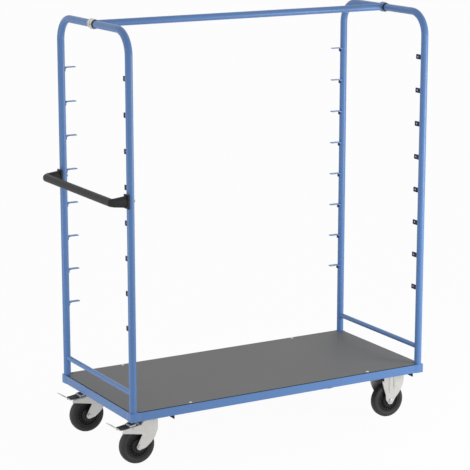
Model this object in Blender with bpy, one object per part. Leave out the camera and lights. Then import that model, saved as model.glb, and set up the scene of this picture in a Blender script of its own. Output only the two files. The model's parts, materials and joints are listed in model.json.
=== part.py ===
"""Shelf trolley: a steel deck frame on four casters, with a bent tube hoop at each end.

Metres, +Z up, floor at zero. X runs along the trolley, with the push handle and the swivel
casters at the low end, and Y runs from front to back.
"""

import math

import bmesh
import bpy
from mathutils import Matrix, Vector

# Fits
FIT_GAP = 0.0003            # gap between two pieces that touch
OVERRUN = 0.004             # how far a cutter runs past the face that it opens
BOLT_PLAY = 0.0004          # radial play of a bolt in its hole
MERGE_DISTANCE = 0.00002    # points closer than this are one

# Driving sizes of the whole trolley
UPRIGHT_SPACING_X = 1.460   # between the centres of the two hoops
UPRIGHT_SPACING_Y = 0.650   # between the two legs of one hoop
HOOP_HEIGHT = 1.872         # floor to the top of the hoops
WHEEL_DIAMETER = 0.160
WHEEL_TOP_ROOM = 0.056      # from the top of a wheel to the underside of the frame
FRAME_HEIGHT = 0.037

# Hoops
TUBE_DIAMETER = 0.032
TUBE_SIDES = 16
HOOP_BEND_RADIUS = 0.100
BEND_STEPS = 6
STRETCHER_DIAMETER = 0.022
STRETCHER_SIDES = 12
STRETCHER_ABOVE_FRAME = 0.081
LEVEL_COUNT = 8
LOWEST_LEVEL = 0.589        # floor to the top of the lowest back shelf bracket
TOP_LEVEL_DROP = 0.233      # top of the hoops to the highest back shelf bracket

# Shelf lugs on the front legs, flat plates with a hole
LUG_LENGTH = 0.0645         # from the centre of the leg to the end of the lug
LUG_HEIGHT = 0.022
LUG_THICKNESS = 0.004
LUG_CORNER = 0.003
LUG_RISE = 0.020            # centre of a lug above the top of the back bracket
LUG_OFFSET = 0.003          # towards the other hoop from the centre of the leg
LUG_HOLE_DIAMETER = 0.010
LUG_HOLE_PLACE = 0.047
LUG_HOLE_SIDES = 8
HOLE_SIDES = 6

# Shelf brackets on the back legs, bent from flat bar
BRACKET_REACH = 0.065
BRACKET_DROP = 0.020
BRACKET_WIDTH = 0.020
BRACKET_THICKNESS = 0.004
BRACKET_BEND = 0.005
BRACKET_BEND_STEPS = 2
WELD_SINK = 0.006           # how deep a welded bracket reaches into the tube

# Deck frame
SOCKET_WIDTH = 0.037        # square corner posts that take the legs
SOCKET_CORNER = 0.003
SOCKET_CORNER_STEPS = 2
SOCKET_FLOOR = 0.004
SOCKET_STAND = 0.0008       # how far the sockets stand proud of the rails above and below
BORE_SIDES = 20
RAIL_WALL = 0.003
RAIL_LEG = 0.035            # leg that the deck board rests on
RAIL_LIP = 0.014            # return lip at the foot of the rail
BEARER_LENGTH = 0.150
BEARER_WALL = 0.004
TIE_WIDTH = 0.040
TIE_COUNT = 2

# Deck board and its screws
DECK_THICKNESS = 0.015
DECK_ABOVE_RAIL = 0.0025
DECK_EDGE_GAP = 0.002
DECK_SCREW_X = 0.454
DECK_SCREW_INSET = 0.0175   # from the outer face of the frame
DECK_SCREW_SHANK = 0.006
DECK_SCREW_LENGTH = 0.024
DECK_SCREW_HEAD = 0.014
DECK_SCREW_HEAD_HEIGHT = 0.0025
DECK_LOAD_CLEARANCE = 0.003  # from the screw heads to the face that goods stand on
SCREW_SIDES = 10

# Fixing screws that hold the legs in their sockets
LEG_SCREW_SHANK = 0.006
LEG_SCREW_HEAD_FLATS = 0.010
LEG_SCREW_HEAD_HEIGHT = 0.004
LEG_SCREW_DROP = 0.027      # below the top of the frame

# Top rail and its clamps
TOP_RAIL_DIAMETER = 0.030
CLAMP_WALL = 0.0035
CLAMP_WIDTH = 0.038
CLAMP_LIP_HEIGHT = 0.0225
CLAMP_LIP_WALL = 0.003
CLAMP_SPLIT = 0.003
CLAMP_STEPS = 6
SADDLE_WIDTH = 0.034
SADDLE_LIP_HEIGHT = 0.0205
CLAMP_BOLT_SHANK = 0.008
CLAMP_BOLT_HEAD = 0.014
CLAMP_BOLT_HEAD_HEIGHT = 0.005
CLAMP_BOLT_GRIP = 0.030     # length of the bolt inside the rail

# Push handle
HANDLE_HEIGHT = 1.160
HANDLE_REACH = 0.085        # leg centre to bar centre
HANDLE_BAR_DIAMETER = 0.030
HANDLE_BEND_RADIUS = 0.032
HANDLE_ARM_WIDTH = 0.034
HANDLE_ARM_HEIGHT = 0.054
HANDLE_PAD_WIDTH = 0.042
HANDLE_PAD_HEIGHT = 0.058
HANDLE_PAD_DEPTH = 0.012
HANDLE_PAD_WRAP = 0.011     # from the leg centre to the open edge of the pad
HANDLE_PAD_CORNER = 0.005
HANDLE_PAD_STEPS = 2
HANDLE_SIDES = 12
HANDLE_BEND_STEPS = 5
HANDLE_ARM_STEPS = 3
HANDLE_SCREW_SHANK = 0.006
HANDLE_SCREW_HEAD = 0.012
HANDLE_SCREW_HEAD_HEIGHT = 0.003
HANDLE_SCREW_GRIP = 0.026

# Wheels
WHEEL_WIDTH = 0.040
TYRE_DEPTH = 0.0225         # from the tread to the seat on the rim
TYRE_SHOULDER = 0.010
WHEEL_SIDES = 24
RIM_WIDTH = 0.034
RIM_FLANGE = 0.0115
RIM_SLOPE = 0.002           # draft of the moulded steps
RIM_WEB = 0.020
BOSS_WIDTH = 0.038
HUB_WIDTH = 0.048
SLEEVE_DIAMETER = 0.020
AXLE_DIAMETER = 0.012
AXLE_HEAD_FLATS = 0.019
AXLE_HEAD_HEIGHT = 0.007
NUT_HEIGHT = 0.009
NUT_STAND_OUT = 0.003       # axle end beyond its nut
AXLE_SIDES = 12

# Caster forks and plates
PLATE_LENGTH = 0.148
PLATE_WIDTH = 0.110
PLATE_THICKNESS = 0.005
PLATE_CORNER = 0.010
PLATE_CORNER_STEPS = 2
PLATE_BOLT_X = 0.105        # bolt hole spacing along the plate
PLATE_BOLT_Y = 0.080
PLATE_HOLE = 0.011
FORK_WALL = 0.004
FORK_INNER_WIDTH = 0.056
FIXED_INSET_X = 0.115       # fixed caster centre from the hoop centre
SWIVEL_INSET_X = 0.110
CASTER_INSET_Y = 0.078
TRAIL = 0.056               # axle behind the swivel axis
RACE_DIAMETER = 0.072
RACE_HEIGHT = 0.007
BEARING_HEIGHT = 0.0077
BEARING_INNER_DIAMETER = 0.040
BEARING_OUTER_DIAMETER = 0.066
KINGPIN_DIAMETER = 0.014
KINGPIN_HEAD = 0.026
KINGPIN_HEAD_HEIGHT = 0.004
FORK_NOSE = 0.012           # centre of the round nose ahead of the swivel axis
FORK_NOSE_STEPS = 8
FORK_EDGE = 0.008           # rounding between the crown and the sides
FORK_EDGE_STEPS = 2
FORK_MOUTH = 0.005          # back of the closed crown, behind the axle

# Brake
BRAKE_PIN_DIAMETER = 0.005
BRAKE_PIN_HEAD = 0.009
BRAKE_PIN_HEAD_HEIGHT = 0.002
BRAKE_COVER_WIDTH = 0.054
BRAKE_LEVER_WIDTH = 0.046

# Outlines, as shares of the sizes that they follow

# Side view of a swivel fork, in wheel radii from the axle; x ahead of the axle, z above it
FORK_SEAT_SHARE = 0.27      # back of the level crown that the bearing sits on
FORK_HEEL_SHARES = [(0.08, 1.225), (-0.56, 1.15), (-0.98, 1.08), (-1.02, 0.89)]
FORK_LEG_BACK_SHARES = [(0.10, 0.69), (0.155, 0.66), (0.15, 0.63), (0.02, 0.40), (-0.125, 0.11)]
FORK_LEG_FRONT_SHARES = [(0.37, -0.09), (0.67, 0.155), (0.94, 0.45), (1.03, 0.65), (1.20, 0.82)]
FORK_NOSE_LOW_SHARE = 0.90
FORK_TOE_RADIUS_SHARE = 0.18
TOE_STEPS = 5

# One leg of a fixed fork, in wheel radii from the axle
FIXED_FRONT_SHARES = [(0.33, 0.15), (0.54, 0.37), (0.68, 0.575), (0.79, 0.79), (0.89, 1.06)]
FIXED_BACK_SHARES = [(-0.29, 0.10), (-0.31, 0.39), (-0.43, 0.80)]
FIXED_TOP_FRONT_SHARE = 0.92
FIXED_TOP_BACK_SHARE = -0.60
FIXED_TOE_RADIUS_SHARE = 0.20
FIXED_FOLD_SHARE = -0.22    # where the back edge of the leg is folded in
FIXED_FOLD_SLOPE_SHARE = 0.27

# Brake cover and lever in side view, in wheel radii from the axle
BRAKE_PIVOT_BACK_SHARE = 0.375
BRAKE_PIVOT_RISE_SHARE = 1.05
BRAKE_COVER_SHARES = [(-1.09, 1.10), (-0.50, 1.165), (-0.45, 1.255), (-0.17, 1.275), (-0.12, 1.23)]
BRAKE_SEAM_SHARES = [(-0.16, 1.13), (-0.48, 1.13), (-0.58, 1.085), (-1.07, 1.06)]
BRAKE_TAIL_SHARES = [(-1.27, 1.215), (-1.63, 1.43), (-1.655, 1.395), (-1.28, 1.165), (-1.10, 1.02),
                     (-0.74, 1.035)]
BRAKE_SHOE_SHARES = [(-0.72, 0.87), (-0.66, 0.83), (-0.55, 0.895), (-0.375, 0.985), (-0.20, 1.03)]

# Shares of small pieces
EDGE_LEVEL_SHARE = 0.5      # a face is level where its normal rises by more than this
ROUND_PROFILE_SHARE = 0.5   # a bevel of this profile is a true arc
SCREW_DOME_SHARES = [(0.0, 1.0), (0.5, 0.9), (0.85, 0.55)]     # of the head radius and its height
BOLT_CHAMFER_SHARE = 0.75
HANDLE_SCREW_DOME_SHARES = [(0.0, 1.0), (0.6, 0.85)]
KINGPIN_FOOT_SHARE = 0.8
BEARING_BULGE_SHARE = 0.25
HANDLE_ROUND_SHARE = 0.8    # how square the handle section is
HANDLE_TALL_SHARE = 1.15    # height of the arm where the bend starts, over the bar
HANDLE_ROOT_SHARE = 0.33    # how deep the arm starts in the pad

# Steps of the wheel centre, as shares of its recess radius
RIM_BOSS_SHARE = 0.68
RIM_HUB_SHARE = 0.44

# Half of a tyre section: share of the half width, and share of the shoulder below the tread
TYRE_SHARES = [(0.0, 0.0), (0.52, 0.08), (0.84, 0.45), (1.0, 1.20)]

# Sizes that follow from those above
TUBE_RADIUS = TUBE_DIAMETER / 2
SOCKET_HALF = SOCKET_WIDTH / 2
WHEEL_RADIUS = WHEEL_DIAMETER / 2
TYRE_SEAT_RADIUS = WHEEL_RADIUS - TYRE_DEPTH
BRAKE_PIVOT_BACK = BRAKE_PIVOT_BACK_SHARE * WHEEL_RADIUS
BRAKE_PIVOT_RISE = BRAKE_PIVOT_RISE_SHARE * WHEEL_RADIUS
FRAME_BOTTOM = WHEEL_DIAMETER + WHEEL_TOP_ROOM
FRAME_TOP = FRAME_BOTTOM + FRAME_HEIGHT
HOOP_TOP_CENTRE = HOOP_HEIGHT - TUBE_RADIUS
LEVEL_PITCH = (HOOP_HEIGHT - TOP_LEVEL_DROP - LOWEST_LEVEL) / (LEVEL_COUNT - 1)
HALF_X = UPRIGHT_SPACING_X / 2
HALF_Y = UPRIGHT_SPACING_Y / 2
DECK_TOP = FRAME_TOP + DECK_ABOVE_RAIL
DECK_REST = DECK_TOP - DECK_THICKNESS - FIT_GAP
PLATE_TOP = FRAME_BOTTOM - FIT_GAP
PLATE_LOW = PLATE_TOP - PLATE_THICKNESS
RACE_LOW = PLATE_LOW - RACE_HEIGHT
BEARING_TOP = RACE_LOW - FIT_GAP
BEARING_LOW = BEARING_TOP - BEARING_HEIGHT
CROWN_TOP = BEARING_LOW - FIT_GAP
CROWN_LOW = CROWN_TOP - FORK_WALL
FORK_OUTER_HALF = FORK_INNER_WIDTH / 2 + FORK_WALL
CLAMP_INNER = TUBE_RADIUS + FIT_GAP
CLAMP_OUTER = CLAMP_INNER + CLAMP_WALL
LEFT_REACH = HALF_X + HANDLE_REACH + HANDLE_BAR_DIAMETER / 2
CLAMP_BOLT_REACH = CLAMP_OUTER + FIT_GAP + CLAMP_BOLT_HEAD_HEIGHT
RIGHT_REACH = HALF_X + max(SOCKET_HALF, CLAMP_BOLT_REACH)
CENTRE_X = (LEFT_REACH - RIGHT_REACH) / 2       # puts the origin under the middle of the whole


# Materials

def finish(name, colour, roughness, metallic):
    """A plain Principled material."""
    material = bpy.data.materials.new(name)
    material.use_nodes = True
    shader = material.node_tree.nodes["Principled BSDF"]
    shader.inputs["Base Color"].default_value = (*colour, 1)
    shader.inputs["Roughness"].default_value = roughness
    shader.inputs["Metallic"].default_value = metallic
    material.diffuse_color = (*colour, 1)
    return material


def make_finishes():
    return {
        "blue_paint": finish("blue_paint", (0.130, 0.265, 0.600), 0.40, 0.0),
        "deck_grey": finish("deck_grey", (0.180, 0.182, 0.185), 0.60, 0.0),
        "zinc": finish("zinc", (0.620, 0.615, 0.600), 0.38, 0.85),
        "black_plastic": finish("black_plastic", (0.042, 0.042, 0.044), 0.52, 0.0),
        "rim_plastic": finish("rim_plastic", (0.050, 0.050, 0.052), 0.50, 0.0),
        "tyre_rubber": finish("tyre_rubber", (0.040, 0.040, 0.042), 0.72, 0.0),
    }


# Mesh tools

def as_mesh(bm):
    """Closes a bmesh into a mesh with its faces pointing out."""
    bmesh.ops.recalc_face_normals(bm, faces=bm.faces)
    mesh = bpy.data.meshes.new("shape")
    bm.to_mesh(mesh)
    bm.free()
    return mesh


def extruded(outline, low, high, plane):
    """A prism: the outline lies in the plane xy, xz or yz, and runs from low to high across it."""
    def point(a, b, t):
        if plane == "xy":
            return (a, b, t)
        if plane == "xz":
            return (a, t, b)
        return (t, a, b)
    bm = bmesh.new()
    face = bm.faces.new([bm.verts.new(point(a, b, low)) for a, b in outline])
    moved = bmesh.ops.extrude_face_region(bm, geom=[face])
    shift = Vector(point(0, 0, high)) - Vector(point(0, 0, low))
    verts = [item for item in moved["geom"] if isinstance(item, bmesh.types.BMVert)]
    bmesh.ops.translate(bm, verts=verts, vec=shift)
    return as_mesh(bm)


def box(size_low, size_high):
    """A block between two opposite corners."""
    outline = [(size_low[0], size_low[1]), (size_high[0], size_low[1]),
               (size_high[0], size_high[1]), (size_low[0], size_high[1])]
    return extruded(outline, size_low[2], size_high[2], "xy")


def parted(mesh, places):
    """Parts the faces along planes across Y, with the shape as it was."""
    bm = bmesh.new()
    bm.from_mesh(mesh)
    for y in places:
        bmesh.ops.bisect_plane(bm, geom=[*bm.verts, *bm.edges, *bm.faces], plane_co=(0, y, 0),
                               plane_no=(0, 1, 0))
    return as_mesh(bm)


def turned(profile, sides, axis="z"):
    """A closed profile of (radius, height) points spun about the axis."""
    bm = bmesh.new()
    verts = [bm.verts.new((radius, 0, height)) for radius, height in profile]
    edges = [bm.edges.new((verts[i], verts[(i + 1) % len(verts)])) for i in range(len(verts))]
    bmesh.ops.spin(bm, geom=edges + verts, cent=(0, 0, 0), axis=(0, 0, 1),
                   angle=math.tau, steps=sides, use_merge=True)
    bmesh.ops.remove_doubles(bm, verts=bm.verts, dist=min_edge(profile))
    on_axis = [edge for edge in bm.edges if not edge.link_faces]
    bmesh.ops.delete(bm, geom=on_axis, context="EDGES")
    turn = {"z": Matrix.Identity(3),
            "y": Matrix.Rotation(math.radians(-90), 3, "X"),
            "x": Matrix.Rotation(math.radians(90), 3, "Y")}[axis]
    bmesh.ops.transform(bm, matrix=turn.to_4x4(), verts=bm.verts)
    return as_mesh(bm)


def min_edge(profile):
    """A merge distance well below the shortest edge of a profile."""
    count = len(profile)
    lengths = [math.dist(profile[i], profile[(i + 1) % count]) for i in range(count)]
    return min(lengths) / 1000


def rod(radius, low, high, sides, axis="z"):
    """A plain cylinder along the axis."""
    return turned([(0, high), (radius, high), (radius, low), (0, low)], sides, axis)


def bore(radius, low, high, sides, axis="z"):
    """A cutter for a hole whose flats clear a round piece of the given radius."""
    return rod(radius / math.cos(math.pi / sides), low, high, sides, axis)


def hexagon_rod(flats, low, high, axis="z"):
    """A hexagonal bar, flats being its size across flats."""
    return rod(flats / math.sqrt(3), low, high, 6, axis)


def arc(centre, radius, start, end, steps):
    """Points on an arc, angles in degrees, both ends included."""
    points = []
    for i in range(steps + 1):
        angle = math.radians(start + (end - start) * i / steps)
        points.append((centre[0] + radius * math.cos(angle),
                       centre[1] + radius * math.sin(angle)))
    return points


def moved(mesh, offset):
    """The same mesh, shifted in place."""
    mesh.transform(Matrix.Translation(Vector(offset)))
    return mesh


def mirrored_x(mesh):
    """A mirror copy across the plane of the hoop."""
    copy = mesh.copy()
    copy.transform(Matrix.Scale(-1, 4, (1, 0, 0)))
    copy.flip_normals()
    return copy


def gathered(meshes):
    """Several separate meshes in one, for use as one Boolean tool."""
    bm = bmesh.new()
    for mesh in meshes:
        bm.from_mesh(mesh)
    whole = bpy.data.meshes.new("shapes")
    bm.to_mesh(whole)
    bm.free()
    return whole


def combined(mesh, tool_mesh, operation):
    """Boolean of two meshes with the exact solver."""
    body = bpy.data.objects.new("body", mesh)
    tool = bpy.data.objects.new("tool", tool_mesh)
    for item in (body, tool):
        bpy.context.collection.objects.link(item)
    step = body.modifiers.new("combine", "BOOLEAN")
    step.operation = operation
    step.solver = "EXACT"
    step.object = tool
    depsgraph = bpy.context.evaluated_depsgraph_get()
    result = bpy.data.meshes.new_from_object(body.evaluated_get(depsgraph))
    bpy.data.objects.remove(body)
    bpy.data.objects.remove(tool)
    bm = bmesh.new()
    bm.from_mesh(result)
    bmesh.ops.remove_doubles(bm, verts=bm.verts, dist=MERGE_DISTANCE)
    return as_mesh(bm)


def joined(mesh, *others):
    for other in others:
        mesh = combined(mesh, other, "UNION")
    return mesh


def cut(mesh, *tools):
    for tool in tools:
        mesh = combined(mesh, tool, "DIFFERENCE")
    return mesh


def tube_along(points, radius, sides):
    """A round bar along a run of points, closed at both ends."""
    curve = bpy.data.curves.new("path", "CURVE")
    curve.dimensions = "3D"
    curve.bevel_depth = radius
    curve.bevel_resolution = (sides - 4) // 2
    curve.use_fill_caps = True
    spline = curve.splines.new("POLY")
    spline.points.add(len(points) - 1)
    for target, point in zip(spline.points, points):
        target.co = (*point, 1)
    path = bpy.data.objects.new("path", curve)
    bpy.context.collection.objects.link(path)
    depsgraph = bpy.context.evaluated_depsgraph_get()
    mesh = bpy.data.meshes.new_from_object(path.evaluated_get(depsgraph))
    bpy.data.objects.remove(path)
    bm = bmesh.new()
    bm.from_mesh(mesh)
    bmesh.ops.remove_doubles(bm, verts=bm.verts, dist=radius / 1000)
    return as_mesh(bm)


def place(name, mesh, material, location=(0, 0, 0), parent=None):
    """Puts a finished piece in the scene under its node name."""
    mesh.materials.clear()
    mesh.materials.append(material)
    mesh.shade_smooth()
    mesh.set_sharp_from_angle(angle=math.radians(32))
    piece = bpy.data.objects.new(name, mesh)
    piece.location = location
    piece.parent = parent
    bpy.context.collection.objects.link(piece)
    return piece


def axis_empty(name, location, parent=None):
    """An empty on a joint axis, to carry the pieces that turn about it."""
    empty = bpy.data.objects.new(name, None)
    empty.location = location
    empty.parent = parent
    bpy.context.collection.objects.link(empty)
    return empty


# Deck frame

def frame_rails():
    """The rolled rail section, carried round the four sides with mitred corners."""
    section = [(0, FRAME_BOTTOM), (RAIL_LIP, FRAME_BOTTOM), (RAIL_LIP, FRAME_BOTTOM + RAIL_WALL),
               (RAIL_WALL, FRAME_BOTTOM + RAIL_WALL), (RAIL_WALL, DECK_REST - RAIL_WALL),
               (RAIL_LEG, DECK_REST - RAIL_WALL), (RAIL_LEG, DECK_REST), (RAIL_WALL, DECK_REST),
               (RAIL_WALL, FRAME_TOP), (0, FRAME_TOP)]
    outer_x = HALF_X + TUBE_RADIUS
    outer_y = HALF_Y + TUBE_RADIUS
    bm = bmesh.new()
    rings = []
    for sign_x, sign_y in ((-1, -1), (1, -1), (1, 1), (-1, 1)):
        rings.append([bm.verts.new((sign_x * (outer_x - inset), sign_y * (outer_y - inset), z))
                      for inset, z in section])
    for i, ring in enumerate(rings):
        following = rings[(i + 1) % len(rings)]
        for j in range(len(section)):
            k = (j + 1) % len(section)
            bm.faces.new((ring[j], ring[k], following[k], following[j]))
    return as_mesh(bm)


def cross_channel(centre_x, length):
    """A shallow channel between the long rails, its web at the foot of the frame."""
    half = length / 2
    top = DECK_REST - RAIL_WALL / 2
    inner = half - BEARER_WALL
    section = [(-half, FRAME_BOTTOM), (half, FRAME_BOTTOM), (half, top), (inner, top),
               (inner, FRAME_BOTTOM + BEARER_WALL), (-inner, FRAME_BOTTOM + BEARER_WALL),
               (-inner, top), (-half, top)]
    outline = [(centre_x + x, z) for x, z in section]
    reach = HALF_Y + TUBE_RADIUS - RAIL_WALL / 2
    return extruded(outline, -reach, reach, "xz")


def corner_places():
    return [(sign_x * HALF_X, sign_y * HALF_Y) for sign_x in (-1, 1) for sign_y in (-1, 1)]


def post(half, low, high):
    """A square bar with rounded corners."""
    flat = half - SOCKET_CORNER
    outline = []
    for centre, start in (((flat, -flat), -90), ((flat, flat), 0), ((-flat, flat), 90), ((-flat, -flat), 180)):
        outline += arc(centre, SOCKET_CORNER, start, start + 90, SOCKET_CORNER_STEPS)
    return extruded(outline, low, high, "xy")


def leg_screw_direction(x):
    """The screw looks along the long rail, towards the middle of the deck."""
    return math.pi if x > 0 else 0


def make_base_frame(finishes):
    frame = frame_rails()
    swivel_x = -HALF_X + SWIVEL_INSET_X
    fixed_x = HALF_X - FIXED_INSET_X
    frame = joined(frame, cross_channel(swivel_x, BEARER_LENGTH), cross_channel(fixed_x, BEARER_LENGTH))
    for i in range(TIE_COUNT):
        tie_x = swivel_x + (fixed_x - swivel_x) * (i + 1) / (TIE_COUNT + 1)
        frame = joined(frame, cross_channel(tie_x, TIE_WIDTH))
    sockets = [moved(post(SOCKET_HALF, FRAME_BOTTOM - SOCKET_STAND, FRAME_TOP + SOCKET_STAND), (x, y, 0))
               for x, y in corner_places()]
    frame = joined(frame, gathered(sockets))
    bores = []
    for x, y in corner_places():
        bores.append(moved(bore(TUBE_RADIUS + FIT_GAP, FRAME_BOTTOM + SOCKET_FLOOR,
                                FRAME_TOP + OVERRUN, BORE_SIDES), (x, y, 0)))
    frame = cut(frame, gathered(bores))
    holes = []
    for x, y in corner_places():
        hole = bore(LEG_SCREW_SHANK / 2 + BOLT_PLAY, TUBE_RADIUS, SOCKET_HALF + OVERRUN, HOLE_SIDES, "x")
        hole.transform(Matrix.Rotation(leg_screw_direction(x), 4, "Z"))
        holes.append(moved(hole, (x, y, FRAME_TOP - LEG_SCREW_DROP)))
    for x, y in deck_screw_places():
        hole = bore(DECK_SCREW_SHANK / 2 + BOLT_PLAY, DECK_REST - RAIL_WALL - OVERRUN,
                    DECK_REST + OVERRUN, HOLE_SIDES)
        holes.append(moved(hole, (x, y, 0)))
    for x in (swivel_x, fixed_x):
        for y in (-HALF_Y + CASTER_INSET_Y, HALF_Y - CASTER_INSET_Y):
            holes.extend(plate_holes(x, y, FRAME_BOTTOM - OVERRUN, FRAME_BOTTOM + BEARER_WALL + OVERRUN))
    frame = cut(frame, gathered(holes))
    place("base_frame", moved(frame, (CENTRE_X, 0, 0)), finishes["blue_paint"])


def make_leg_screws(finishes):
    """A hexagon screw through each socket wall, hidden below the deck."""
    head_start = SOCKET_HALF + FIT_GAP
    head_end = head_start + LEG_SCREW_HEAD_HEIGHT
    names = {(-1, -1): "front_left", (-1, 1): "back_left", (1, -1): "front_right", (1, 1): "back_right"}
    for x, y in corner_places():
        shank = rod(LEG_SCREW_SHANK / 2, TUBE_RADIUS + 2 * FIT_GAP, head_end, HOLE_SIDES, "x")
        screw = joined(shank, hexagon_rod(LEG_SCREW_HEAD_FLATS, head_start, head_end, "x"))
        screw.transform(Matrix.Rotation(leg_screw_direction(x), 4, "Z"))
        corner = names[(int(math.copysign(1, x)), int(math.copysign(1, y)))]
        place(f"{corner}_leg_screw", screw, finishes["zinc"], (CENTRE_X + x, y, FRAME_TOP - LEG_SCREW_DROP))


# Deck board

def deck_screw_row():
    """How far each row of deck screws lies from the middle."""
    return HALF_Y + TUBE_RADIUS - DECK_SCREW_INSET


def deck_screw_places():
    y = deck_screw_row()
    return [(sign_x * DECK_SCREW_X, sign_y * y) for sign_y in (-1, 1) for sign_x in (-1, 1)]


def make_deck_board(finishes):
    """A notched board; the face that goods stand on ends short of the two rows of screws."""
    half_x = HALF_X + TUBE_RADIUS - RAIL_WALL - DECK_EDGE_GAP
    half_y = HALF_Y + TUBE_RADIUS - RAIL_WALL - DECK_EDGE_GAP
    low = DECK_REST + FIT_GAP
    load_half = deck_screw_row() - DECK_SCREW_HEAD / 2 - DECK_LOAD_CLEARANCE
    board = parted(box((-half_x, -half_y, low), (half_x, half_y, DECK_TOP)), (-load_half, load_half))
    notches = [moved(post(SOCKET_HALF + DECK_EDGE_GAP, low - OVERRUN, DECK_TOP + OVERRUN), (x, y, 0))
               for x, y in corner_places()]
    holes = [moved(bore(DECK_SCREW_SHANK / 2 + BOLT_PLAY, low - OVERRUN, DECK_TOP + OVERRUN, HOLE_SIDES),
                   (x, y, 0)) for x, y in deck_screw_places()]
    board = cut(board, gathered(notches), gathered(holes))
    place("deck_board", moved(board, (CENTRE_X, 0, 0)), finishes["deck_grey"])


def make_deck_screws(finishes):
    head = DECK_SCREW_HEAD / 2
    shank = DECK_SCREW_SHANK / 2
    rise = DECK_SCREW_HEAD_HEIGHT
    dome = [(across * head, up * rise + FIT_GAP) for across, up in SCREW_DOME_SHARES]
    profile = dome + [(head, FIT_GAP), (shank, FIT_GAP), (shank, -DECK_SCREW_LENGTH), (0, -DECK_SCREW_LENGTH)]
    screw = turned(profile, SCREW_SIDES)
    for number, (x, y) in enumerate(deck_screw_places(), start=1):
        place(f"deck_screw_{number}", screw, finishes["zinc"], (CENTRE_X + x, y, DECK_TOP))


# Hoops

def hoop_path(foot):
    """Up one leg, round the two bends and down the other, in the plane of the hoop."""
    radius = HOOP_BEND_RADIUS
    spring = HOOP_TOP_CENTRE - radius
    front = arc((-HALF_Y + radius, spring), radius, 180, 90, BEND_STEPS)
    back = arc((HALF_Y - radius, spring), radius, 90, 0, BEND_STEPS)
    return [(0, -HALF_Y, foot)] + [(0, y, z) for y, z in front + back] + [(0, HALF_Y, foot)]


def shelf_lugs():
    """Flat plates with a hole, welded to the front leg and pointing at the back leg."""
    half = LUG_HEIGHT / 2
    start = TUBE_RADIUS - WELD_SINK
    lugs = []
    for level in range(LEVEL_COUNT):
        z = LOWEST_LEVEL + LUG_RISE + level * LEVEL_PITCH
        outline = [(start, -half), (LUG_LENGTH - LUG_CORNER, -half), (LUG_LENGTH, -half + LUG_CORNER),
                   (LUG_LENGTH, half - LUG_CORNER), (LUG_LENGTH - LUG_CORNER, half), (start, half)]
        plate = extruded(outline, -LUG_THICKNESS / 2, LUG_THICKNESS / 2, "yz")
        hole = bore(LUG_HOLE_DIAMETER / 2, -LUG_THICKNESS, LUG_THICKNESS, LUG_HOLE_SIDES, "x")
        plate = cut(plate, moved(hole, (0, LUG_HOLE_PLACE, 0)))
        lugs.append(moved(plate, (LUG_OFFSET, -HALF_Y, z)))
    return lugs


def shelf_brackets():
    """Bent flat bars on the back leg: a short weld leg and a tongue that carries the shelf."""
    wall = BRACKET_THICKNESS
    start = TUBE_RADIUS - WELD_SINK
    face = TUBE_RADIUS + wall
    bend_x = face - wall / 2
    bend = arc((bend_x, -BRACKET_BEND), BRACKET_BEND, 90, 180, BRACKET_BEND_STEPS)
    outline = [(start, -BRACKET_DROP), (face, -BRACKET_DROP), (face, -BRACKET_BEND), (face + wall / 2, -wall),
               (BRACKET_REACH, -wall), (BRACKET_REACH, 0)] + bend + [(start, -BRACKET_BEND)]
    bars = []
    for level in range(LEVEL_COUNT):
        bar = extruded(outline, -BRACKET_WIDTH / 2, BRACKET_WIDTH / 2, "xz")
        bars.append(moved(bar, (0, HALF_Y, LOWEST_LEVEL + level * LEVEL_PITCH)))
    return bars


def make_hoops(finishes):
    foot = FRAME_BOTTOM + SOCKET_FLOOR + FIT_GAP
    bar = tube_along(hoop_path(foot), TUBE_RADIUS, TUBE_SIDES)
    hoop = joined(bar, gathered(shelf_lugs() + shelf_brackets()))
    clamp_hole = bore(CLAMP_BOLT_SHANK / 2 + BOLT_PLAY, -TUBE_DIAMETER, TUBE_DIAMETER, HOLE_SIDES, "x")
    right_hoop = mirrored_x(cut(hoop, moved(clamp_hole, (0, 0, HOOP_TOP_CENTRE))))
    tools = [clamp_hole]
    for side in (-1, 1):
        hole = bore(HANDLE_SCREW_SHANK / 2 + BOLT_PLAY, -TUBE_DIAMETER, TUBE_DIAMETER, HOLE_SIDES, "x")
        tools.append(moved(hole, (0, side * HALF_Y, HANDLE_HEIGHT)))
    left_hoop = cut(hoop, gathered(tools))
    place("left_hoop", left_hoop, finishes["blue_paint"], (CENTRE_X - HALF_X, 0, 0))
    place("right_hoop", right_hoop, finishes["blue_paint"], (CENTRE_X + HALF_X, 0, 0))


def make_stretchers(finishes):
    """The thin tube across the foot of each hoop, its ends shaped to the legs."""
    height = FRAME_TOP + STRETCHER_ABOVE_FRAME
    bar = rod(STRETCHER_DIAMETER / 2, -HALF_Y, HALF_Y, STRETCHER_SIDES, "y")
    legs = [moved(bore(TUBE_RADIUS + FIT_GAP, -TUBE_DIAMETER, TUBE_DIAMETER, BORE_SIDES),
                  (0, side * HALF_Y, 0)) for side in (-1, 1)]
    bar = cut(bar, gathered(legs))
    place("left_stretcher", bar, finishes["blue_paint"], (CENTRE_X - HALF_X, 0, height))
    place("right_stretcher", bar.copy(), finishes["blue_paint"], (CENTRE_X + HALF_X, 0, height))


# Top rail and clamps

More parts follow.
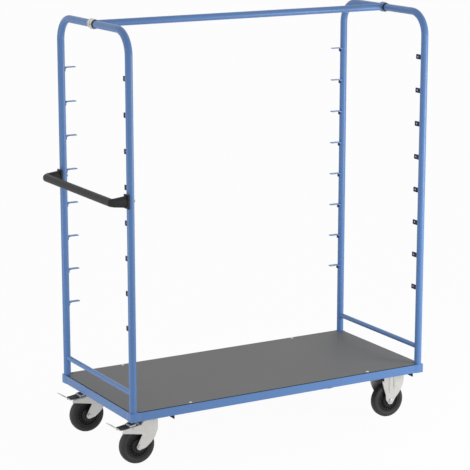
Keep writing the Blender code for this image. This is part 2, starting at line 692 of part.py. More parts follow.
def half_shell(lip_height, width):
    """Half of a tube clamp with two lips; it opens towards -X and hugs a tube along Y."""
    edge = CLAMP_SPLIT / 2
    lip_outer = edge + CLAMP_LIP_WALL
    turn = math.degrees(math.acos(edge / CLAMP_INNER))
    outer_turn = math.degrees(math.acos(lip_outer / CLAMP_OUTER))
    outer = arc((0, 0), CLAMP_OUTER, outer_turn, -outer_turn, CLAMP_STEPS)
    clear = CLAMP_INNER / math.cos(math.radians(turn) / CLAMP_STEPS)
    inner = arc((0, 0), clear, -turn, turn, CLAMP_STEPS)
    outline = [(edge, lip_height), (lip_outer, lip_height)] + outer + [(lip_outer, -lip_height),
                                                                      (edge, -lip_height)] + inner
    return extruded(outline, -width / 2, width / 2, "xz")


def make_top_rail(finishes):
    """A tube between the hoops with a saddle at each end, drilled for the clamp bolts."""
    rail = rod(TOP_RAIL_DIAMETER / 2, -HALF_X, HALF_X, TUBE_SIDES, "x")
    cope = CLAMP_INNER + CLAMP_WALL / 2
    tubes = [moved(rod(cope, -TUBE_DIAMETER, TUBE_DIAMETER, BORE_SIDES, "y"), (side * HALF_X, 0, 0))
             for side in (-1, 1)]
    rail = cut(rail, gathered(tubes))
    saddle = half_shell(SADDLE_LIP_HEIGHT, SADDLE_WIDTH)
    right_saddle = moved(mirrored_x(saddle), (HALF_X, 0, 0))
    rail = joined(rail, moved(saddle, (-HALF_X, 0, 0)), right_saddle)
    depth = HALF_X - TUBE_RADIUS - CLAMP_BOLT_GRIP - OVERRUN
    clear = CLAMP_BOLT_SHANK / 2 + BOLT_PLAY
    rail = cut(rail, gathered([bore(clear, depth, HALF_X, HOLE_SIDES, "x"),
                               bore(clear, -HALF_X, -depth, HOLE_SIDES, "x")]))
    place("top_rail", rail, finishes["blue_paint"], (CENTRE_X, 0, HOOP_TOP_CENTRE))


def make_clamps(finishes):
    """The outer half of each clamp and the bolt that pulls it onto the rail."""
    cap = half_shell(CLAMP_LIP_HEIGHT, CLAMP_WIDTH)
    hole = bore(CLAMP_BOLT_SHANK / 2 + BOLT_PLAY, 0, TUBE_DIAMETER, HOLE_SIDES, "x")
    cap = cut(cap, hole)
    head_start = CLAMP_OUTER + FIT_GAP
    head_end = head_start + CLAMP_BOLT_HEAD_HEIGHT
    shank = CLAMP_BOLT_SHANK / 2
    head = CLAMP_BOLT_HEAD / 2
    reach = TUBE_RADIUS + CLAMP_BOLT_GRIP
    crown = head * BOLT_CHAMFER_SHARE
    profile = [(0, head_end), (crown, head_end), (head, head_end - head + crown), (head, head_start),
               (shank, head_start), (shank, -reach), (0, -reach)]
    bolt = turned(profile, SCREW_SIDES, "x")
    height = HOOP_TOP_CENTRE
    left_x = CENTRE_X - HALF_X
    right_x = CENTRE_X + HALF_X
    place("right_rail_clamp", cap, finishes["zinc"], (right_x, 0, height))
    place("left_rail_clamp", mirrored_x(cap), finishes["zinc"], (left_x, 0, height))
    place("right_clamp_bolt", bolt, finishes["zinc"], (right_x, 0, height))
    place("left_clamp_bolt", mirrored_x(bolt), finishes["zinc"], (left_x, 0, height))


# Push handle

def oval_ring(section):
    """One section of the handle, a softened oval that stands across the run of the bar."""
    x, y, turn, half_width, half_height = section
    across = Vector((math.sin(turn), math.cos(turn), 0))
    ring = []
    for i in range(HANDLE_SIDES):
        angle = math.tau * i / HANDLE_SIDES
        wide = math.copysign(abs(math.cos(angle)) ** HANDLE_ROUND_SHARE, math.cos(angle))
        tall = math.copysign(abs(math.sin(angle)) ** HANDLE_ROUND_SHARE, math.sin(angle))
        ring.append(Vector((x, y, 0)) + across * half_width * wide + Vector((0, 0, half_height * tall)))
    return ring


def handle_sections():
    """Sections from the front pad along the arm and round the bend, then the same at the back."""
    radius = HANDLE_BEND_RADIUS
    bar = HANDLE_BAR_DIAMETER / 2
    bar_tall = bar * HANDLE_TALL_SHARE
    start = -TUBE_RADIUS - HANDLE_PAD_DEPTH * HANDLE_ROOT_SHARE
    bend_start = -HANDLE_REACH + radius
    front = []
    for i in range(HANDLE_ARM_STEPS + 1):
        share = i / HANDLE_ARM_STEPS
        width = HANDLE_ARM_WIDTH / 2 * (1 - share) + bar * share
        height = HANDLE_ARM_HEIGHT / 2 * (1 - share) + bar_tall * share
        front.append((start + (bend_start - start) * share, -HALF_Y, 0, width, height))
    for i in range(1, HANDLE_BEND_STEPS + 1):
        share = i / HANDLE_BEND_STEPS
        turn = math.pi / 2 * share
        x = bend_start - radius * math.sin(turn)
        y = -HALF_Y + radius - radius * math.cos(turn)
        front.append((x, y, turn, bar, bar_tall * (1 - share) + bar * share))
    back = [(x, -y, math.pi - turn, width, height) for x, y, turn, width, height in reversed(front)]
    return front + back


def lofted(rings):
    """A skin over a run of rings, closed at both ends."""
    bm = bmesh.new()
    loops = [[bm.verts.new(point) for point in ring] for ring in rings]
    for first, second in zip(loops, loops[1:]):
        for i in range(len(first)):
            j = (i + 1) % len(first)
            bm.faces.new((first[i], first[j], second[j], second[i]))
    bm.faces.new(loops[0])
    bm.faces.new(loops[-1])
    return as_mesh(bm)


def handle_pad():
    """The block that hugs the outer side of a leg."""
    half_width = HANDLE_PAD_WIDTH / 2
    half_height = HANDLE_PAD_HEIGHT / 2
    low_x = -TUBE_RADIUS - FIT_GAP - HANDLE_PAD_DEPTH / 2
    bm = bmesh.new()
    bm.from_mesh(box((low_x, -half_width, -half_height), (-HANDLE_PAD_WRAP, half_width, half_height)))
    outer = [edge for edge in bm.edges if all(abs(vert.co.x - low_x) < FIT_GAP for vert in edge.verts)]
    long_edges = [edge for edge in bm.edges
                  if abs(edge.verts[0].co.x - edge.verts[1].co.x) > FIT_GAP]
    bmesh.ops.bevel(bm, geom=outer + long_edges, offset=HANDLE_PAD_CORNER, segments=HANDLE_PAD_STEPS,
                    profile=ROUND_PROFILE_SHARE, affect="EDGES")
    return as_mesh(bm)


def make_push_handle(finishes):
    handle = lofted([oval_ring(section) for section in handle_sections()])
    for side in (-1, 1):
        handle = joined(handle, moved(handle_pad(), (0, side * HALF_Y, 0)))
    legs = [moved(bore(TUBE_RADIUS + FIT_GAP, -HANDLE_PAD_HEIGHT, HANDLE_PAD_HEIGHT, BORE_SIDES),
                  (0, side * HALF_Y, 0)) for side in (-1, 1)]
    handle = cut(handle, gathered(legs))
    depth = -TUBE_RADIUS - HANDLE_SCREW_GRIP - OVERRUN
    bores = [moved(bore(HANDLE_SCREW_SHANK / 2 + BOLT_PLAY, depth, 0, HOLE_SIDES, "x"),
                   (0, side * HALF_Y, 0)) for side in (-1, 1)]
    handle = cut(handle, gathered(bores))
    place("push_handle", handle, finishes["black_plastic"], (CENTRE_X - HALF_X, 0, HANDLE_HEIGHT))


def make_handle_screws(finishes):
    """A domed screw through each leg into the arm of the handle."""
    shank = HANDLE_SCREW_SHANK / 2
    head = HANDLE_SCREW_HEAD / 2
    seat = TUBE_RADIUS + FIT_GAP
    reach = TUBE_RADIUS + HANDLE_SCREW_GRIP
    dome = [(across * head, seat + up * HANDLE_SCREW_HEAD_HEIGHT) for across, up in HANDLE_SCREW_DOME_SHARES]
    profile = dome + [(head, seat), (shank, seat), (shank, -reach), (0, -reach)]
    screw = turned(profile, SCREW_SIDES, "x")
    for name, side in (("front", -1), ("back", 1)):
        place(f"handle_screw_{name}", screw, finishes["zinc"],
              (CENTRE_X - HALF_X, side * HALF_Y, HANDLE_HEIGHT))


# Wheels and axles

def tyre_mesh():
    """The rubber tyre: a rounded tread over flat side walls."""
    half = WHEEL_WIDTH / 2
    side = [(WHEEL_RADIUS - drop * TYRE_SHOULDER, share * half) for share, drop in TYRE_SHARES]
    inner = TYRE_SEAT_RADIUS
    profile = [(inner, RIM_WIDTH / 2)] + list(reversed(side))
    profile += [(radius, -y) for radius, y in side[1:]] + [(inner, -RIM_WIDTH / 2)]
    return turned(profile, WHEEL_SIDES, "y")


def rim_mesh():
    """The moulded wheel centre: a flush outer ring, a round recess and a stepped hub."""
    outer = TYRE_SEAT_RADIUS - FIT_GAP
    inner = outer - RIM_FLANGE
    boss = RIM_BOSS_SHARE * inner
    hub = RIM_HUB_SHARE * inner
    hole = SLEEVE_DIAMETER / 2 + FIT_GAP
    half = RIM_WIDTH / 2
    web = RIM_WEB / 2
    hub_half = HUB_WIDTH / 2
    upper = [(hole, hub_half), (hub, hub_half), (boss, BOSS_WIDTH / 2), (boss + RIM_SLOPE, web),
             (inner - RIM_SLOPE, web), (inner, half), (outer, half)]
    profile = list(reversed(upper)) + [(radius, -y) for radius, y in upper]
    return turned(profile, WHEEL_SIDES, "y")


def sleeve_mesh():
    """The steel sleeve that the wheel turns on."""
    half = FORK_INNER_WIDTH / 2 - FIT_GAP
    outer = SLEEVE_DIAMETER / 2
    inner = AXLE_DIAMETER / 2 + FIT_GAP
    return turned([(inner, half), (outer, half), (outer, -half), (inner, -half)], AXLE_SIDES, "y")


def axle_mesh():
    """A hexagon bolt across the fork, its head on the front side."""
    head_start = -(FORK_OUTER_HALF + FIT_GAP)
    end = FORK_OUTER_HALF + FIT_GAP + NUT_HEIGHT + NUT_STAND_OUT
    shank = rod(AXLE_DIAMETER / 2, head_start - AXLE_HEAD_HEIGHT / 2, end, AXLE_SIDES, "y")
    return joined(shank, hexagon_rod(AXLE_HEAD_FLATS, head_start - AXLE_HEAD_HEIGHT, head_start, "y"))


def nut_mesh():
    start = FORK_OUTER_HALF + FIT_GAP
    nut = hexagon_rod(AXLE_HEAD_FLATS, start, start + NUT_HEIGHT, "y")
    return cut(nut, bore(AXLE_DIAMETER / 2 + FIT_GAP, 0, start + NUT_HEIGHT + OVERRUN, AXLE_SIDES, "y"))


def make_wheel(prefix, finishes, meshes, axle, swivel):
    """Rim and tyre turn with the axle empty; sleeve, axle and nut stay with the fork."""
    place(f"{prefix}_tyre", meshes["tyre"], finishes["tyre_rubber"], parent=axle)
    place(f"{prefix}_rim", meshes["rim"], finishes["rim_plastic"], parent=axle)
    for part in ("sleeve", "axle", "nut"):
        place(f"{prefix}_{part}", meshes[part], finishes["zinc"], axle.location, swivel)


# Caster plates and forks

def plate_holes(x, y, low, high):
    return [moved(bore(PLATE_HOLE / 2, low, high, HOLE_SIDES),
                  (x + sign_x * PLATE_BOLT_X / 2, y + sign_y * PLATE_BOLT_Y / 2, 0))
            for sign_x in (-1, 1) for sign_y in (-1, 1)]


def plate_blank():
    """The rounded mounting plate, drilled for its four bolts."""
    half_x = PLATE_LENGTH / 2 - PLATE_CORNER
    half_y = PLATE_WIDTH / 2 - PLATE_CORNER
    outline = []
    for centre, start in (((half_x, -half_y), -90), ((half_x, half_y), 0), ((-half_x, half_y), 90),
                          ((-half_x, -half_y), 180)):
        outline += arc(centre, PLATE_CORNER, start, start + 90, PLATE_CORNER_STEPS)
    plate = extruded(outline, PLATE_LOW, PLATE_TOP, "xy")
    return cut(plate, gathered(plate_holes(0, 0, PLATE_LOW - OVERRUN, PLATE_TOP + OVERRUN)))


def swivel_plate_mesh():
    """Mounting plate with the fixed race pressed down from it."""
    race = rod(RACE_DIAMETER / 2, RACE_LOW, PLATE_LOW + PLATE_THICKNESS / 2, BORE_SIDES)
    plate = joined(plate_blank(), race)
    hole = KINGPIN_DIAMETER / 2 + FIT_GAP
    sink = KINGPIN_HEAD / 2 + FIT_GAP
    seat = PLATE_TOP - KINGPIN_HEAD_HEIGHT
    profile = [(0, PLATE_TOP + OVERRUN), (sink, PLATE_TOP + OVERRUN), (sink, seat), (hole, seat),
               (hole, RACE_LOW - OVERRUN), (0, RACE_LOW - OVERRUN)]
    return cut(plate, turned(profile, AXLE_SIDES))


def bearing_mesh():
    """The ball race between plate and fork, with its rounded outer seal."""
    inner = BEARING_INNER_DIAMETER / 2
    outer = BEARING_OUTER_DIAMETER / 2
    bulge = BEARING_HEIGHT * BEARING_BULGE_SHARE
    middle = (BEARING_LOW + BEARING_TOP) / 2
    profile = [(inner, BEARING_TOP), (outer - bulge, BEARING_TOP), (outer, middle), (outer - bulge, BEARING_LOW),
               (inner, BEARING_LOW)]
    return turned(profile, BORE_SIDES)


def kingpin_mesh():
    """The rivet that the fork swings on."""
    shank = KINGPIN_DIAMETER / 2
    head = KINGPIN_HEAD / 2
    seat = PLATE_TOP - KINGPIN_HEAD_HEIGHT + FIT_GAP
    foot = CROWN_LOW - FIT_GAP
    low = foot - KINGPIN_HEAD_HEIGHT
    profile = [(0, PLATE_TOP), (head, PLATE_TOP), (head, seat), (shank, seat), (shank, foot), (head, foot),
               (head * KINGPIN_FOOT_SHARE, low), (0, low)]
    return turned(profile, AXLE_SIDES)


def around_toe(radius, start, end):
    """Points round the axle at the foot of a leg."""
    return arc((0, WHEEL_RADIUS), radius, start, end, TOE_STEPS)


def in_radii(shares):
    """Shares of the wheel radius, measured from the axle, as points above the floor."""
    return [(x * WHEEL_RADIUS, WHEEL_RADIUS + z * WHEEL_RADIUS) for x, z in shares]


def fork_side_outline():
    """Side view of the swivel fork, from the nose along the crown and down round the leg."""
    nose = nose_reach()
    crown = [(nose, CROWN_TOP), (FORK_SEAT_SHARE * WHEEL_RADIUS, CROWN_TOP)]
    toe = around_toe(FORK_TOE_RADIUS_SHARE * WHEEL_RADIUS, 170, 300)
    return (crown + in_radii(FORK_HEEL_SHARES) + in_radii(FORK_LEG_BACK_SHARES) + toe
            + in_radii(FORK_LEG_FRONT_SHARES) + [(nose, WHEEL_RADIUS * (1 + FORK_NOSE_LOW_SHARE))])


def nose_reach():
    """Just ahead of the nose of the fork."""
    return TRAIL + FORK_NOSE + FORK_OUTER_HALF + OVERRUN


def fork_plan_outline(half):
    """Plan of the fork: straight sides, open tail and a round nose."""
    nose = arc((TRAIL + FORK_NOSE, 0), half, -90, 90, FORK_NOSE_STEPS)
    return [(-WHEEL_DIAMETER, -half)] + nose + [(-WHEEL_DIAMETER, half)]


def fork_hollow():
    """The inside of the fork, open below, behind and at the mouth where the brake lies."""
    seat_x = FORK_SEAT_SHARE * WHEEL_RADIUS + FORK_WALL / 2
    slope = in_radii(FORK_HEEL_SHARES[:2])
    (high_x, high_z), (low_x, low_z) = slope
    mouth_share = (high_x + FORK_MOUTH) / (high_x - low_x)
    mouth_z = high_z + (low_z - high_z) * mouth_share - FORK_WALL
    above = CROWN_TOP + OVERRUN
    side = [(nose_reach(), CROWN_LOW), (seat_x, CROWN_LOW), (high_x, high_z - FORK_WALL),
            (-FORK_MOUTH, mouth_z), (-FORK_MOUTH, above), (-WHEEL_DIAMETER, above), (-WHEEL_DIAMETER, 0),
            (nose_reach(), 0)]
    along = extruded(side, -WHEEL_RADIUS, WHEEL_RADIUS, "xz")
    plan = extruded(fork_plan_outline(FORK_INNER_WIDTH / 2), -OVERRUN, above + OVERRUN, "xy")
    return combined(along, plan, "INTERSECT")


def rounded_rim(mesh):
    """Rounds the edges where the crown of a fork turns down into its sides."""
    bm = bmesh.new()
    bm.from_mesh(mesh)
    bm.normal_update()
    bmesh.ops.dissolve_limit(bm, angle_limit=math.radians(1), verts=bm.verts, edges=bm.edges)
    rim = []
    for edge in bm.edges:
        lifts = sorted(face.normal.z for face in edge.link_faces)
        lowest = min(vert.co.z for vert in edge.verts)
        if len(lifts) == 2 and abs(lifts[0]) < EDGE_LEVEL_SHARE < lifts[1] and lowest > WHEEL_DIAMETER:
            rim.append(edge)
    bmesh.ops.bevel(bm, geom=rim, offset=FORK_EDGE, segments=FORK_EDGE_STEPS, profile=ROUND_PROFILE_SHARE,
                    affect="EDGES", clamp_overlap=True)
    return as_mesh(bm)


def swivel_fork_mesh():
    """A pressed shell: plan and side views crossed, rounded, hollowed and drilled. Axle at x zero."""
    plan = extruded(fork_plan_outline(FORK_OUTER_HALF), 0, CROWN_TOP + OVERRUN, "xy")
    side = extruded(fork_side_outline(), -WHEEL_RADIUS, WHEEL_RADIUS, "xz")
    shell = rounded_rim(combined(side, plan, "INTERSECT"))
    pin = bore(KINGPIN_DIAMETER / 2 + FIT_GAP, CROWN_LOW - OVERRUN, CROWN_TOP + OVERRUN, AXLE_SIDES)
    return cut(shell, fork_hollow(), moved(pin, (TRAIL, 0, 0)), axle_hole(), brake_pin_hole())


def axle_hole():
    hole = bore(AXLE_DIAMETER / 2 + FIT_GAP, -WHEEL_RADIUS, WHEEL_RADIUS, AXLE_SIDES, "y")
    return moved(hole, (0, 0, WHEEL_RADIUS))


def brake_pin_hole():
    hole = bore(BRAKE_PIN_DIAMETER / 2 + FIT_GAP, -WHEEL_RADIUS, WHEEL_RADIUS, HOLE_SIDES, "y")
    return moved(hole, (-BRAKE_PIVOT_BACK, 0, WHEEL_RADIUS + BRAKE_PIVOT_RISE))


def folded_leg(outline):
    """The front leg of a fixed fork: flat, with its back edge folded towards the wheel."""
    inner = FORK_INNER_WIDTH / 2
    crease = FIXED_FOLD_SHARE * WHEEL_RADIUS
    bm = bmesh.new()
    bm.from_mesh(extruded(outline, -inner - FORK_WALL, -inner, "xz"))
    whole = bm.verts[:] + bm.edges[:] + bm.faces[:]
    bmesh.ops.bisect_plane(bm, geom=whole, plane_co=(crease, 0, 0), plane_no=(1, 0, 0))
    for vert in bm.verts:
        vert.co.y += max(0, crease - vert.co.x) * FIXED_FOLD_SLOPE_SHARE
    return as_mesh(bm)


def fixed_fork_mesh():
    """Plate and two folded legs, each the other's half turn about the middle. Axle at x zero."""
    top = PLATE_TOP - PLATE_THICKNESS / 2
    toe = around_toe(FIXED_TOE_RADIUS_SHARE * WHEEL_RADIUS, -20, -160)
    outline = ([(FIXED_TOP_FRONT_SHARE * WHEEL_RADIUS, top)] + list(reversed(in_radii(FIXED_FRONT_SHARES)))
               + toe + in_radii(FIXED_BACK_SHARES) + [(FIXED_TOP_BACK_SHARE * WHEEL_RADIUS, top)])
    front = folded_leg(outline)
    back = folded_leg(outline)
    back.transform(Matrix.Rotation(math.pi, 4, "Z"))
    return cut(joined(plate_blank(), gathered([front, back])), axle_hole())


# Brake

def brake_seam(rise):
    """Top of the brake lever, where the cover sits on it, raised by the given gap."""
    return [(x, z + rise) for x, z in in_radii(BRAKE_SEAM_SHARES)]


def brake_lever_mesh():
    """The steel lever: an eye on the pin, a shoe over the tyre and the turned-up tail."""
    outline = brake_seam(0) + in_radii(BRAKE_TAIL_SHARES) + in_radii(BRAKE_SHOE_SHARES)
    lever = extruded(outline, -BRAKE_LEVER_WIDTH / 2, BRAKE_LEVER_WIDTH / 2, "xz")
    return from_pivot(cut(lever, brake_pin_hole()))


def brake_cover_mesh():
    """The black plastic pedal over the lever."""
    outline = brake_seam(FIT_GAP) + in_radii(BRAKE_COVER_SHARES)
    return from_pivot(extruded(outline, -BRAKE_COVER_WIDTH / 2, BRAKE_COVER_WIDTH / 2, "xz"))


def from_pivot(mesh):
    """Shifts a piece of the brake so that its origin lies on the pin."""
    return moved(mesh, (BRAKE_PIVOT_BACK, 0, -WHEEL_RADIUS - BRAKE_PIVOT_RISE))


def brake_pin_mesh():
    """The rivet across the fork that the lever turns on."""
    shank = BRAKE_PIN_DIAMETER / 2
    head = BRAKE_PIN_HEAD / 2
    seat = FORK_OUTER_HALF + FIT_GAP
    end = seat + BRAKE_PIN_HEAD_HEIGHT
    profile = [(0, end), (head, end), (head, seat), (shank, seat), (shank, -seat), (head, -seat), (head, -end),
               (0, -end)]
    return turned(profile, HOLE_SIDES, "y")


# Casters

def make_swivel_caster(prefix, side, finishes, meshes):
    """Plate, bearing and kingpin stay on the frame; fork, wheel and brake turn on empties."""
    x = CENTRE_X - HALF_X + SWIVEL_INSET_X
    y = side * (HALF_Y - CASTER_INSET_Y)
    zinc = finishes["zinc"]
    for part in ("plate", "bearing", "kingpin"):
        place(f"{prefix}_{part}", meshes[part], zinc, (x, y, 0))
    swivel = axis_empty(f"{prefix}_swivel_axis", (x, y, 0))
    place(f"{prefix}_fork", meshes["swivel_fork"], zinc, (-TRAIL, 0, 0), swivel)
    axle = axis_empty(f"{prefix}_axle_axis", (-TRAIL, 0, WHEEL_RADIUS), swivel)
    make_wheel(prefix, finishes, meshes, axle, swivel)
    pivot = (-TRAIL - BRAKE_PIVOT_BACK, 0, WHEEL_RADIUS + BRAKE_PIVOT_RISE)
    place(f"{prefix}_brake_pin", meshes["brake_pin"], zinc, pivot, swivel)
    brake = axis_empty(f"{prefix}_brake_axis", pivot, swivel)
    place(f"{prefix}_brake_lever", meshes["brake_lever"], zinc, parent=brake)
    place(f"{prefix}_brake_cover", meshes["brake_cover"], finishes["black_plastic"], parent=brake)


def make_fixed_caster(prefix, side, finishes, meshes):
    x = CENTRE_X + HALF_X - FIXED_INSET_X
    y = side * (HALF_Y - CASTER_INSET_Y)
    place(f"{prefix}_fork", meshes["fixed_fork"], finishes["zinc"], (x, y, 0))
    axle = axis_empty(f"{prefix}_axle_axis", (x, y, WHEEL_RADIUS))
    make_wheel(prefix, finishes, meshes, axle, None)


def caster_meshes():
    """Each caster piece once, to be shared out over the four corners."""
    return {
        "tyre": tyre_mesh(),
        "rim": rim_mesh(),
        "sleeve": sleeve_mesh(),
        "axle": axle_mesh(),
        "nut": nut_mesh(),
        "plate": swivel_plate_mesh(),
        "bearing": bearing_mesh(),
        "kingpin": kingpin_mesh(),
        "swivel_fork": swivel_fork_mesh(),
        "fixed_fork": fixed_fork_mesh(),
        "brake_pin": brake_pin_mesh(),
        "brake_lever": brake_lever_mesh(),
        "brake_cover": brake_cover_mesh(),
    }


def make_casters(finishes):
    meshes = caster_meshes()
    for name, side in (("front", -1), ("back", 1)):
        make_swivel_caster(f"{name}_left", side, finishes, meshes)
        make_fixed_caster(f"{name}_right", side, finishes, meshes)


def main():
    for item in list(bpy.data.objects):
        bpy.data.objects.remove(item)
    finishes = make_finishes()
    make_base_frame(finishes)
    make_leg_screws(finishes)
    make_deck_board(finishes)
    make_deck_screws(finishes)
    make_hoops(finishes)
    make_stretchers(finishes)
    make_top_rail(finishes)
    make_clamps(finishes)
    make_push_handle(finishes)
    make_handle_screws(finishes)
    make_casters(finishes)


main()
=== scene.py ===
"""Shelf trolley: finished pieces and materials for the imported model.

Laid out as an add-on and run as a script. Metres, +Z up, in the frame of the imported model.
"""

import json
import math

import bmesh
import bpy
from bpy.props import FloatProperty, FloatVectorProperty, IntProperty, PointerProperty
from mathutils import Matrix, Vector

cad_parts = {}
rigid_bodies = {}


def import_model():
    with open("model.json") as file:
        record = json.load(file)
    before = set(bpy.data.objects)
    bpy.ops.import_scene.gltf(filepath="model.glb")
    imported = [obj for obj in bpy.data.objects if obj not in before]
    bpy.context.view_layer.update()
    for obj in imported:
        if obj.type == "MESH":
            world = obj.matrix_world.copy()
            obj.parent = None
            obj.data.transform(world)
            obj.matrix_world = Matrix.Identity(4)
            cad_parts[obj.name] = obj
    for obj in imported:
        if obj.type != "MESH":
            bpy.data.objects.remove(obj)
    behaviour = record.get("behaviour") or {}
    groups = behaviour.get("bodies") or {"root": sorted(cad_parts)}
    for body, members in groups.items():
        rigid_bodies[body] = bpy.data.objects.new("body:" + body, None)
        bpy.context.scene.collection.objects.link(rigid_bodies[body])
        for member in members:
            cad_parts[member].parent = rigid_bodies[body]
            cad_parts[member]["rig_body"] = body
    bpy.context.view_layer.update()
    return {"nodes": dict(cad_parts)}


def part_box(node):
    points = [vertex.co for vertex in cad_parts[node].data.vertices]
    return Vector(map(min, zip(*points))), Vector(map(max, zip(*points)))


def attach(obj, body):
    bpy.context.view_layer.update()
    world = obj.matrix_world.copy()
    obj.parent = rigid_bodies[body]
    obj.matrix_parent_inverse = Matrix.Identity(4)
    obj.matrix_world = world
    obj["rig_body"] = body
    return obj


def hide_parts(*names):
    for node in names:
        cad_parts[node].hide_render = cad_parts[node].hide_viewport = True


bl_info = {
    "name": "Shelf trolley",
    "version": (1, 0, 0),
    "blender": (4, 5, 0),
    "location": "3D View > Sidebar > Trolley",
    "description": "Makes the finished pieces, materials and stage of a shelf trolley",
    "category": "Object",
}

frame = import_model()

# Sizes that the places below and the panel share
TUBE = 0.032
STRETCHER = 0.022
PLATE_THICKNESS = 0.005

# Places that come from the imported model. LEG_Y, HOOP_TOP and STRETCHER_Z are the middle of a tube.
LEFT_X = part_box("left_stretcher")[0].x + STRETCHER / 2
RIGHT_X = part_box("right_stretcher")[0].x + STRETCHER / 2
MIDDLE_X = (LEFT_X + RIGHT_X) / 2
LEG_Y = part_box("left_hoop")[1].y - TUBE / 2
HOOP_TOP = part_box("left_hoop")[1].z - TUBE / 2
HOOP_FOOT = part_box("left_hoop")[0].z
FRAME_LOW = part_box("base_frame")[0].z
FRAME_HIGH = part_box("base_frame")[1].z
DECK_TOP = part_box("deck_board")[1].z
STRETCHER_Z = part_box("left_stretcher")[0].z + STRETCHER / 2
HANDLE_Z = sum(corner.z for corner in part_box("push_handle")) / 2
HANDLE_LOW_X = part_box("push_handle")[0].x
PLATE_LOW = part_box("front_right_fork")[1].z - PLATE_THICKNESS
CORNERS = ("front_left", "back_left", "front_right", "back_right")
SWIVELS = CORNERS[:2]

# Tops of the shelf brackets, and how far the middle of a lug lies above each
LOWEST_LEVEL = 0.589
LEVEL_SPACING = 0.150
LEVELS = [LOWEST_LEVEL + LEVEL_SPACING * step for step in range(8)]
LUG_RISE = 0.020

# Outside of the saddles and clamp shells at the ends of the top rail
SHELL_RADIUS = 0.0198

# Half sections of a wheel. Tyre: depth under the tread and distance from the middle plane.
TYRE_SIDE = [(0.0, 0.0), (0.0002, 0.005), (0.0008, 0.0105), (0.0022, 0.0145), (0.0048, 0.0175),
             (0.0085, 0.0192), (0.012, 0.0200), (0.0165, 0.0200), (0.0172, 0.0193), (0.0180, 0.0193),
             (0.0187, 0.0187)]
TYRE_SEAT = (0.0575, 0.0170)
# Wheel centre: radius and distance from the middle plane, from the hub out to the rim.
CENTRE_SIDE = [(0.0103, 0.0240), (0.0200, 0.0240), (0.0215, 0.0225), (0.0300, 0.0200), (0.0312, 0.0185),
               (0.0322, 0.0118), (0.0334, 0.0110), (0.0438, 0.0110), (0.0449, 0.0116), (0.0458, 0.0162),
               (0.0466, 0.0170), (0.0520, 0.0170), (0.0526, 0.0166), (0.0534, 0.0166), (0.0540, 0.0170),
               (0.0572, 0.0170)]


class TrolleySizes(bpy.types.PropertyGroup):
    """Sizes that can be changed before the pieces are made."""

    tube: FloatProperty(name="Tube", description="Diameter of the hoop tube", default=TUBE, unit="LENGTH")
    tube_sides: IntProperty(name="Tube sides", description="Sides of each tube", default=36, min=12)
    hoop_bend: FloatProperty(name="Hoop bend", description="Bend radius of the hoops", default=0.100, unit="LENGTH")
    stretcher: FloatProperty(name="Stretcher", description="Diameter of the low cross tubes", default=STRETCHER,
                             unit="LENGTH")
    rail: FloatProperty(name="Top rail", description="Diameter of the top rail", default=0.030, unit="LENGTH")
    post: FloatProperty(name="Post", description="Width of the square corner posts", default=0.037,
                        unit="LENGTH")
    weld: FloatProperty(name="Weld", description="Radius of a weld bead", default=0.0013, unit="LENGTH")
    edge: FloatProperty(name="Edge", description="Rounding of cut steel edges", default=0.0006, unit="LENGTH")
    wheel: FloatProperty(name="Wheel", description="Diameter of the wheels", default=0.160, unit="LENGTH")
    wheel_sides: IntProperty(name="Wheel sides", description="Sides of each wheel", default=96, min=24)


class TrolleyColours(bpy.types.PropertyGroup):
    """Colours of the finishes."""

    paint: FloatVectorProperty(name="Paint", description="Powder coat of the steel", subtype="COLOR",
                               default=(0.116, 0.258, 0.575))
    # The support paint is painted shade: the plain blue darkened to navy to stand for the shade on the lugs, the
    # weld legs and the flange ends.
    navy: FloatVectorProperty(name="Support paint", description="Darker coat of the shelf supports",
                              subtype="COLOR", default=(0.013, 0.022, 0.072))
    deck: FloatVectorProperty(name="Deck", description="Film on the deck board", subtype="COLOR",
                              default=(0.146, 0.146, 0.147))
    board_edge: FloatVectorProperty(name="Board edge", description="Sealed edge of the deck board",
                                    subtype="COLOR", default=(0.024, 0.022, 0.020))
    zinc: FloatVectorProperty(name="Zinc", description="Plated steel", subtype="COLOR",
                              default=(0.640, 0.630, 0.605))
    plastic: FloatVectorProperty(name="Plastic", description="Moulded handle and pedals", subtype="COLOR",
                                 default=(0.012, 0.012, 0.013))
    tread: FloatVectorProperty(name="Pedal tread", description="Moulded tread of the brake pedals",
                               subtype="COLOR", default=(0.060, 0.060, 0.062))
    rim: FloatVectorProperty(name="Wheel centre", description="Moulded wheel centres", subtype="COLOR",
                             default=(0.010, 0.010, 0.011))
    rubber: FloatVectorProperty(name="Tyre", description="Tyre rubber", subtype="COLOR",
                                default=(0.024, 0.024, 0.024))
    screw: FloatVectorProperty(name="Screw heads", description="Bright plated screw heads of the deck",
                               subtype="COLOR", default=(0.900, 0.890, 0.870))


# Materials

class Value:
    """A shader socket that takes part in plain arithmetic: each operator adds its Math node."""

    def __init__(self, finish, socket):
        self.finish = finish
        self.socket = socket

    def maths(self, operation, first, second):
        return self.finish.node("ShaderNodeMath", {"operation": operation}, {0: first, 1: second})

    def __add__(self, other):
        return self.maths("ADD", self, other)

    def __radd__(self, other):
        return self.maths("ADD", other, self)

    def __sub__(self, other):
        return self.maths("SUBTRACT", self, other)

    def __rsub__(self, other):
        return self.maths("SUBTRACT", other, self)

    def __mul__(self, other):
        return self.maths("MULTIPLY", self, other)

    def __rmul__(self, other):
        return self.maths("MULTIPLY", other, self)

    def above(self, low, high):
        """0 below the low value, 1 above the high one, and a straight run between."""
        return self.finish.node("ShaderNodeMapRange", {"clamp": True},
                                {0: self, 1: low, 2: high, 3: 0.0, 4: 1.0})


